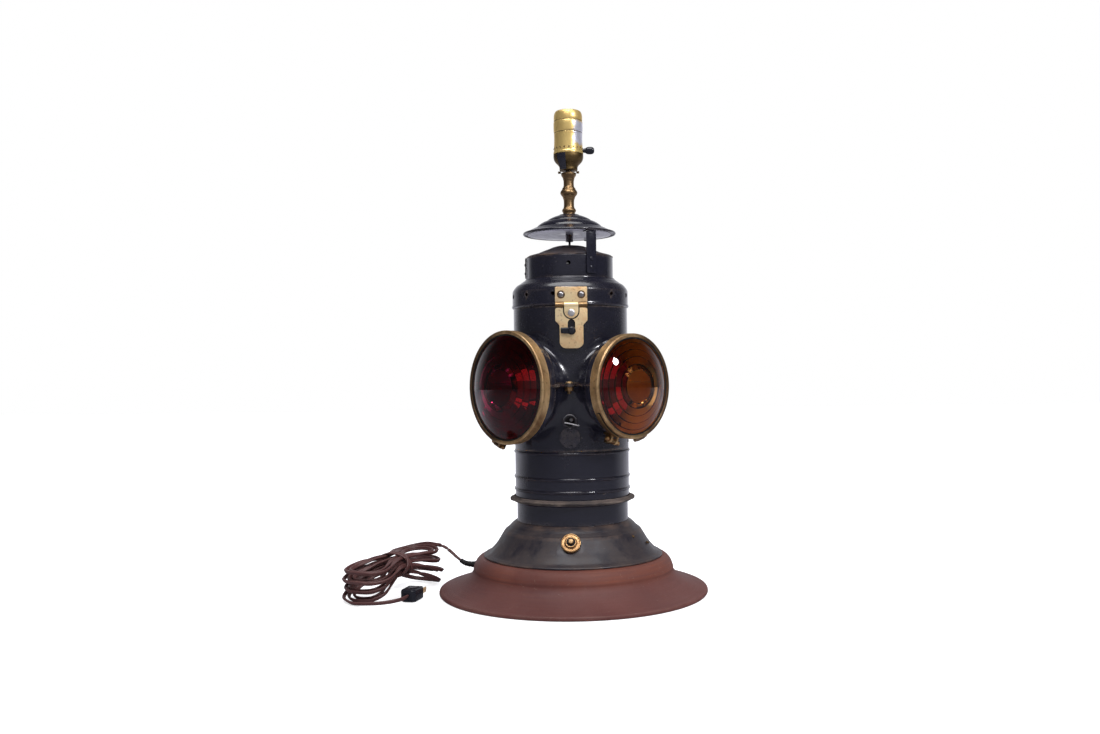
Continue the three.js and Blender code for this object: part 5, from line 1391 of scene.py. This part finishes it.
def smoke_cap():
    brim = [(58.0, 449.3), (58.6, 449.9), (58.7, 450.9), (58.1, 451.8), (56.8, 452.3)]
    crown = flowing([(56.8, 452.3), (53.4, 453.4), (49.4, 455.2), (45.2, 457.3), (42.6, 458.1)], 4)
    first = flowing([(41.6, 458.4), (40.9, 459.6), (39.6, 461.0), (36.4, 463.4), (32.8, 465.4),
                     (30.0, 466.3)], 4)
    second = flowing([(28.6, 466.6), (27.9, 467.6), (25.2, 469.4), (20.2, 471.8), (15.6, 473.4),
                      (14.4, 473.7)], 4)
    hub = flowing([(13.6, 474.0), (12.4, 474.9), (9.0, 475.3), (5.3, 475.3)], 3)
    outside = np.vstack([flowing(brim, 4)[:-1], crown, first, second, hub])
    cap = turned(sheet(outside, 1.1), 160)
    make("smoke_cap", cap, "black_japan", sharp=40)
    make("cap_baffle", tube(53, 5.3, 449.1, 450.1, 0.25, 128), "pale_metal")
    nut = mesh_of("cap_nut_made", slab(eased(circle(8, 6), 0.6), 442.8, 448.8, 0.7))
    cut_from(nut, rod(5.1, 430, 460, 0))
    piece(nut, "steel", "cap_nut")
    foot, end, pitch, bore, root, crest = 440.8, 544.8, 1.2, 3.4, 4.6, 4.9
    thread = [place for z in np.arange(foot, end - 0.6, pitch) for place in ((root, z), (crest, z + 0.5))]
    make("threaded_pipe", turned([(bore, foot), *thread, (root, end), (bore, end)], 32), "steel", sharp=50)
    line = flowing([(0, 0, 381.8), (0.25, -0.15, 400), (-0.15, 0.1, 425), (0.2, 0, 441), (0.1, 0.1, 480),
                    (0, 0, 547.8)], 8)
    make("socket_wire", swept(line, circle(1.35, 14), np.tile([0, 1.0, 0], (len(line), 1))), "rubber",
         sharp=60)


# Neck and socket

NECK_RADIUS, NECK_FOOT, NECK_TOP = 10.8, 475.6, 527.8
SOCKET_RADIUS, CAP_FOOT, SHELL_FOOT, SHELL_HEIGHT = 18.9, 530.8, 551.6, 54.4


def neck():
    shares = [[.70, 0], [.70, .035], [.76, .06], [.82, .085], [.80, .11], [.70, .14], [.63, .17],
              [.61, .20], [.61, .33], [.64, .36], [.69, .385], [.70, .40], [.755, .425], [.80, .445],
              [.94, .48], [1, .515], [.97, .55], [.88, .58], [.80, .60], [.77, .63], [.68, .65], [.62, .68],
              [.61, .70], [.61, .81], [.66, .85], [.67, .875], [.74, .90], [.78, .92], [.86, .945],
              [.88, .965], [.88, 1]]
    curve = [(NECK_RADIUS * r, NECK_FOOT + 52.2 * z) for r, z in shares]
    make("neck", turned([*flowing(curve, 3), (5.2, NECK_TOP), (5.2, NECK_FOOT)], 96), "copper_brass",
         sharp=48)
    rear, front = arc((0, 0), 10, 17.5, 162.5, 16), arc((0, 0), 10, 197.5, 342.5, 16)
    outline = eased([*rear, (-13, 3), (-13, -3), *front, (13, -3), (13, 3)], 0.6)
    washer = mesh_of("saddle_washer_made", slab(outline, 528.1, 530.5, 0.5))
    cut_from(washer, rod(5.3, 520, 540, 0))
    piece(washer, "dark_brass", "saddle_washer")
    ears = [moved(rod(1.5, 9.8, 13.4, 0.4, 20), shift(0, 0, 528.9), turn(a), ALONG_X) for a in (0, 180)]
    trim("saddle_screws", joined(*ears), "dark_brass", "lid")
    outer = (12.2, 531.2), (13.6, 531.2), (16.9, 538.5), (18.9, 544), (19.6, 550.6)
    clip, half = [], math.radians(18)
    for angle in np.linspace(-half, half, 9):
        section = (*outer, (18.9, 550.9), (18.1, 544.3), (16.0, 538.8))
        clip.append(np.array([[-r * math.cos(angle), -r * math.sin(angle), z] for r, z in section]))
    trim("cap_clip", moved(stacked(clip), turn(62)), "smooth_japan", "lid")


def groove(z):
    return [(SOCKET_RADIUS * .955, z - 0.8), (SOCKET_RADIUS * .93, z), (SOCKET_RADIUS * .958, z + 0.8)]


def socket():
    shares = [[.56, 0], [.6, .03], [.61, .22], [.70, .36], [.84, .49], [.94, .62], [.985, .74], [1, .84],
              [1, 1]]
    cap = flowing([(r * SOCKET_RADIUS, CAP_FOOT + 20.5 * z) for r, z in shares], 4)
    cap = sheet([(5.4, CAP_FOOT), (9.0, CAP_FOOT), *cap], BRASS_WALL)
    make("socket_cap", turned(cap, 96), "bronze", sharp=45)
    shares = [[1, 0], [1, .035], [.975, .06], [.966, .12], [.942, .33], [.942, .46]]
    low = flowing([(SOCKET_RADIUS * r, SHELL_FOOT + SHELL_HEIGHT * z) for r, z in shares], 4)
    ring = (18.1, 592.5), (17.75, 593.1), (18.05, 593.9), (18.1, 597)
    mid = [*groove(578.4), (18.35, 581.3), (18.4, 587), (18.4, 591.7), *ring]
    top = flowing([(17.9, 600.2), (17.3, 602.9), (16.2, 605.0), (15.2, 605.9), (14.55, 606)], 4)
    make("socket_shell", turned(sheet([*low, *mid, *top], BRASS_WALL), 128), "socket_brass", sharp=45)
    dots = 20
    dots = [around(360 / dots * k + 4, 18.15, 558.4) for k in range(dots)]
    heads("socket_dots", dots, 1.0, 0.75, "dark_brass", "lid")
    lines = joined(tube(17.85, 17.4, 577.9, 578.9, 0.1), tube(17.95, 17.5, 592.8, 593.5, 0.1))
    trim("socket_lines", lines, "dark_brass", "lid")
    core = joined(rod(15.5, 548.1, 576.1, 1.0, 64), tube(17.4, 12, 551.9, 554.1, 0.4),
                  rod(4, 570, 579.1, 0.8))
    make("socket_core", core, "phenolic")
    foot, pitch = 576.4, 3.63
    thread = [(13.75 + 0.25 * math.sin((z - foot) / pitch * 2 * math.pi), z)
              for z in np.linspace(foot, 601.9, 61)]
    make("screw_shell", turned(sheet(thread, BRASS_WALL), 96), "hasp_brass", sharp=60)
    socket_key()


def socket_key():
    """The turn key: a flat thumb piece on a stem."""
    curve = flowing([(0.01, 21), (2.4, 21.1), (4.3, 23.6), (4.8, 27), (4.5, 30.2), (3.0, 32.4), (0.01, 33)],
                    4)
    points, faces = turned([(0, 21), *curve[1:-1], (0, 33)], 32)
    thumb = points * np.array([1, 0.55, 1]), faces
    stem = joined(rod(2.0, 7.6, 21.8, 0.3, 24), tube(2.9, 1.9, 19.2, 21.2, 0.4, 24))
    make("socket_key", moved(joined(thumb, stem), shift(0, 0, 556.2), ALONG_X), "phenolic", sharp=50)


# Hasp and hinges

HASP_TURN, HASP_HALF, HASP_PIN, HASP_OUT = turn(2.5), 19.25, 356.1, 76.3
HASP_RIVETS, HASP_RIVET_HEIGHT = (-12.2, 12.2), 368.6
HINGE_HALF, HINGE_PIN, HINGE_OUT = 17, 355.8, -76.4
KNUCKLE, KNUCKLE_BORE, PIN_RADIUS = 3.0, 1.6, 1.3


def across(radius, low, high, height=HASP_PIN, out=HASP_OUT, bore=None):
    """A rod or barrel that lies from left to right."""
    shape = tube(radius, bore, low, high, 0.25, 32) if bore else rod(radius, low, high, 0.3)
    return moved(shape, shift(0, -out, height), ALONG_X)


def hasp():
    sides = ((8.8, HASP_HALF), (-HASP_HALF, -8.8))
    shell = mesh_of("hasp_plate_made",
                    moved(slab(oblong(HASP_HALF, 359.4, 377.9, 1.6, 4), 65, 74.6, 0.35), UPRIGHT))
    cut_from(shell, tube(73.3, 0.5, 350, 385, 0, 192))
    webs = [block(x, (-74.6, -73.4), (356.4, 360), 0.1) for x in sides]
    knuckles = [across(KNUCKLE, *x, bore=KNUCKLE_BORE) for x in sides]
    rest = mesh_of("hasp_knuckles", joined(*webs, *knuckles))
    for obj in (shell, rest):
        obj.data.transform(Matrix(HASP_TURN))
    piece(shell, "hasp_brass", "hasp_plate")
    piece(rest, "copper_brass", body="lid")
    turned_by = HASP_TURN[:3, :3]
    way = tuple(turned_by @ np.array([0, -1, 0]))
    spots = [(tuple(turned_by @ np.array([x, -74.5, HASP_RIVET_HEIGHT])), way) for x in HASP_RIVETS]
    heads("hasp_rivets", spots, 3.6, 1.7, "steel", "lid")
    washers = []
    for x in HASP_RIVETS:
        washers.append(moved(tube(4.8, 3.3, 74.4, 74.9, 0.15, 32), HASP_TURN,
                             shift(x, 0, HASP_RIVET_HEIGHT), UPRIGHT))
    trim("rivet_washers", joined(*washers), "dark_brass", "lid")
    make("hasp_pin", moved(across(PIN_RADIUS, -HASP_HALF, HASP_HALF), HASP_TURN), "aged_brass")
    hasp_leaf()
    # The turn catch: a lever on a hub that holds the leaf
    place = HASP_TURN @ shift(0, -75.55, 325.2) @ UPRIGHT
    outline = [(-6, -3.75), (2, -3.75), (2, 3.75), (-6, 3.75), (-13, 3.4), (-13, -3.4)]
    lever = slab(eased(outline, 1.6, 4), 1.8, 5.8, 1.4, 4)
    hub = turned(eased([(0, 1.8), (5, 1.8), (5, 5.2), (3.4, 7), (0, 7)], 0.9), 32)
    make("turn_catch", moved(joined(lever, hub, rod(4.1, 0, 2.2)), place), "phenolic")


def tongue(half, low, high, ease):
    """The doubled strip below the leaf's knuckle, with a round end."""
    end = arc((0, HASP_PIN - 7.5), half, 0, -180, 20)[1:]
    return slab([(half, HASP_PIN), (half, HASP_PIN - 7.5), *end, (-half, HASP_PIN)][::-1], low, high, ease)


def hasp_leaf():
    top = HASP_PIN
    left = [(-HASP_HALF, top - 3.3), (-HASP_HALF, top - 18.7), (-14.25, top - 24.3)]
    right = [(-x, z) for x, z in left[::-1]]
    foot = [*arc((-6.25, top - 44), 8, 180, 270, 8), *arc((6.25, top - 44), 8, -90, 0, 8)]
    leaf = slab(eased([*left, *foot, *right], 3.0, 5), 75.55, 77.05, 0.35)
    leaf = mesh_of("hasp_leaf_made", moved(leaf, UPRIGHT))
    slot = [*arc((0, top - 21.6), 4.45, 0, 180), *arc((0, top - 30.9), 4.45, 180, 360)]
    cut_from(leaf, moved(slab(slot, 70, 80, 0), UPRIGHT))
    knuckle = across(KNUCKLE, -8.5, 8.5, bore=KNUCKLE_BORE)
    more = mesh_of("hasp_tongue", joined(moved(tongue(8.5, 76.9, 78.25, 0.35), UPRIGHT), knuckle))
    # A dark slab a little wider than the tongue, behind it: painted shadow round the tongue.
    trim("tongue_shade", moved(tongue(9.9, 76.8, 77.2, 0.1), HASP_TURN, UPRIGHT), "rubber", "hasp")
    for obj in (leaf, more):
        obj.data.transform(Matrix(HASP_TURN))
    piece(leaf, "hasp_brass", "hasp_leaf")
    piece(more, "hasp_brass", body="hasp")
    rivet = moved(domed(4.4, 78.1, 79.6), shift(0, 0, top - 9.5), UPRIGHT)
    trim("tongue_rivet", moved(rivet, HASP_TURN), "bright_steel", "hasp")


def rear_leaf(low, high, thick):
    return moved(slab(oblong(HINGE_HALF, low, high, 2.2), 70, thick, 0.3), turn(180), UPRIGHT)


def rear_knuckle(low, high):
    return across(KNUCKLE, low, high, HINGE_PIN, HINGE_OUT, KNUCKLE_BORE)


def lid_hinge():
    outer = ((7.3, HINGE_HALF), (-HINGE_HALF, -7.3))
    lid_side = [block((-7, 7), (73.2, 76.4), (356.1, 359.4), 0.1), rear_knuckle(-7, 7)]
    body_side = [block(x, (73.4, 76.0), (352.0, 354.8), 0.1) for x in outer] + [rear_knuckle(*x)
                                                                                for x in outer]
    for name, plate, wall, rest in (("lid_hinge_leaf", rear_leaf(359.1, 371.8, 74.9), 73.25, lid_side),
                                    ("body_hinge_leaf", rear_leaf(329.8, 352.5, 73.7), 72.05, body_side)):
        plate = cut_from(mesh_of(f"{name}_made", plate), tube(wall, 0.5, 320, 385, 0, 192))
        piece(plate, "black_japan", name)
        trim(f"{name}_knuckles", joined(*rest), "black_japan", body_of_node[name])
    make("lid_hinge_pin", across(PIN_RADIUS, -HINGE_HALF, HINGE_HALF, HINGE_PIN, HINGE_OUT), "steel")
    heads("lid_leaf_rivets", [around(180 + a, 74.8, 366.5) for a in (-9, 9)], 2.2, 1.3, "steel", "lid")
    rivets = [around(180 + a, 73.6, z) for a in (-9, 9) for z in (335.5, 346.5)]
    heads("body_leaf_rivets", rivets, 2.2, 1.3, "steel", "lamp_body")


# Inside

def inner_lamp():
    stem, cup = rod(5, 92, 170, 0.4), tube(16, 13.6, 168.8, 210.8, 0.8)
    holder = joined(rod(14, 89.8, 92.8, 0.8, 48), stem, cup, rod(15.5, 168.8, 184.6, 0.8))
    make("inner_lampholder", holder, "porcelain")
    foot, high, radius = 185.1, 108, 30
    shares = [[.42, 0], [.42, .20], [.5, .30], [.8, .5], [.97, .62], [1, .72], [.92, .83], [.67, .93],
              [.35, .985], [0.001, 1]]
    bulb = flowing([(radius * r, foot + high * z) for r, z in shares], 6)
    make("inner_bulb", turned([(0, foot), *bulb[:-1], (0, foot + high)], 64), "porcelain")


HEADS, HOLES = heads_tree(), holes_tree()
for build in (japanned_steel, door_brass, small_metals, mahogany, lens_glass, plain_finishes, socket_brass,
              camera, room, lights, floor, cord, wood_base, base_dome, base_switch, lower_case, drip_ring,
              lens_body, peephole, peep_cover, lens_doors, lid, chimney, smoke_cap, neck, socket, hasp,
              lid_hinge, inner_lamp):
    build()

scene.view_settings.view_transform = "Standard"
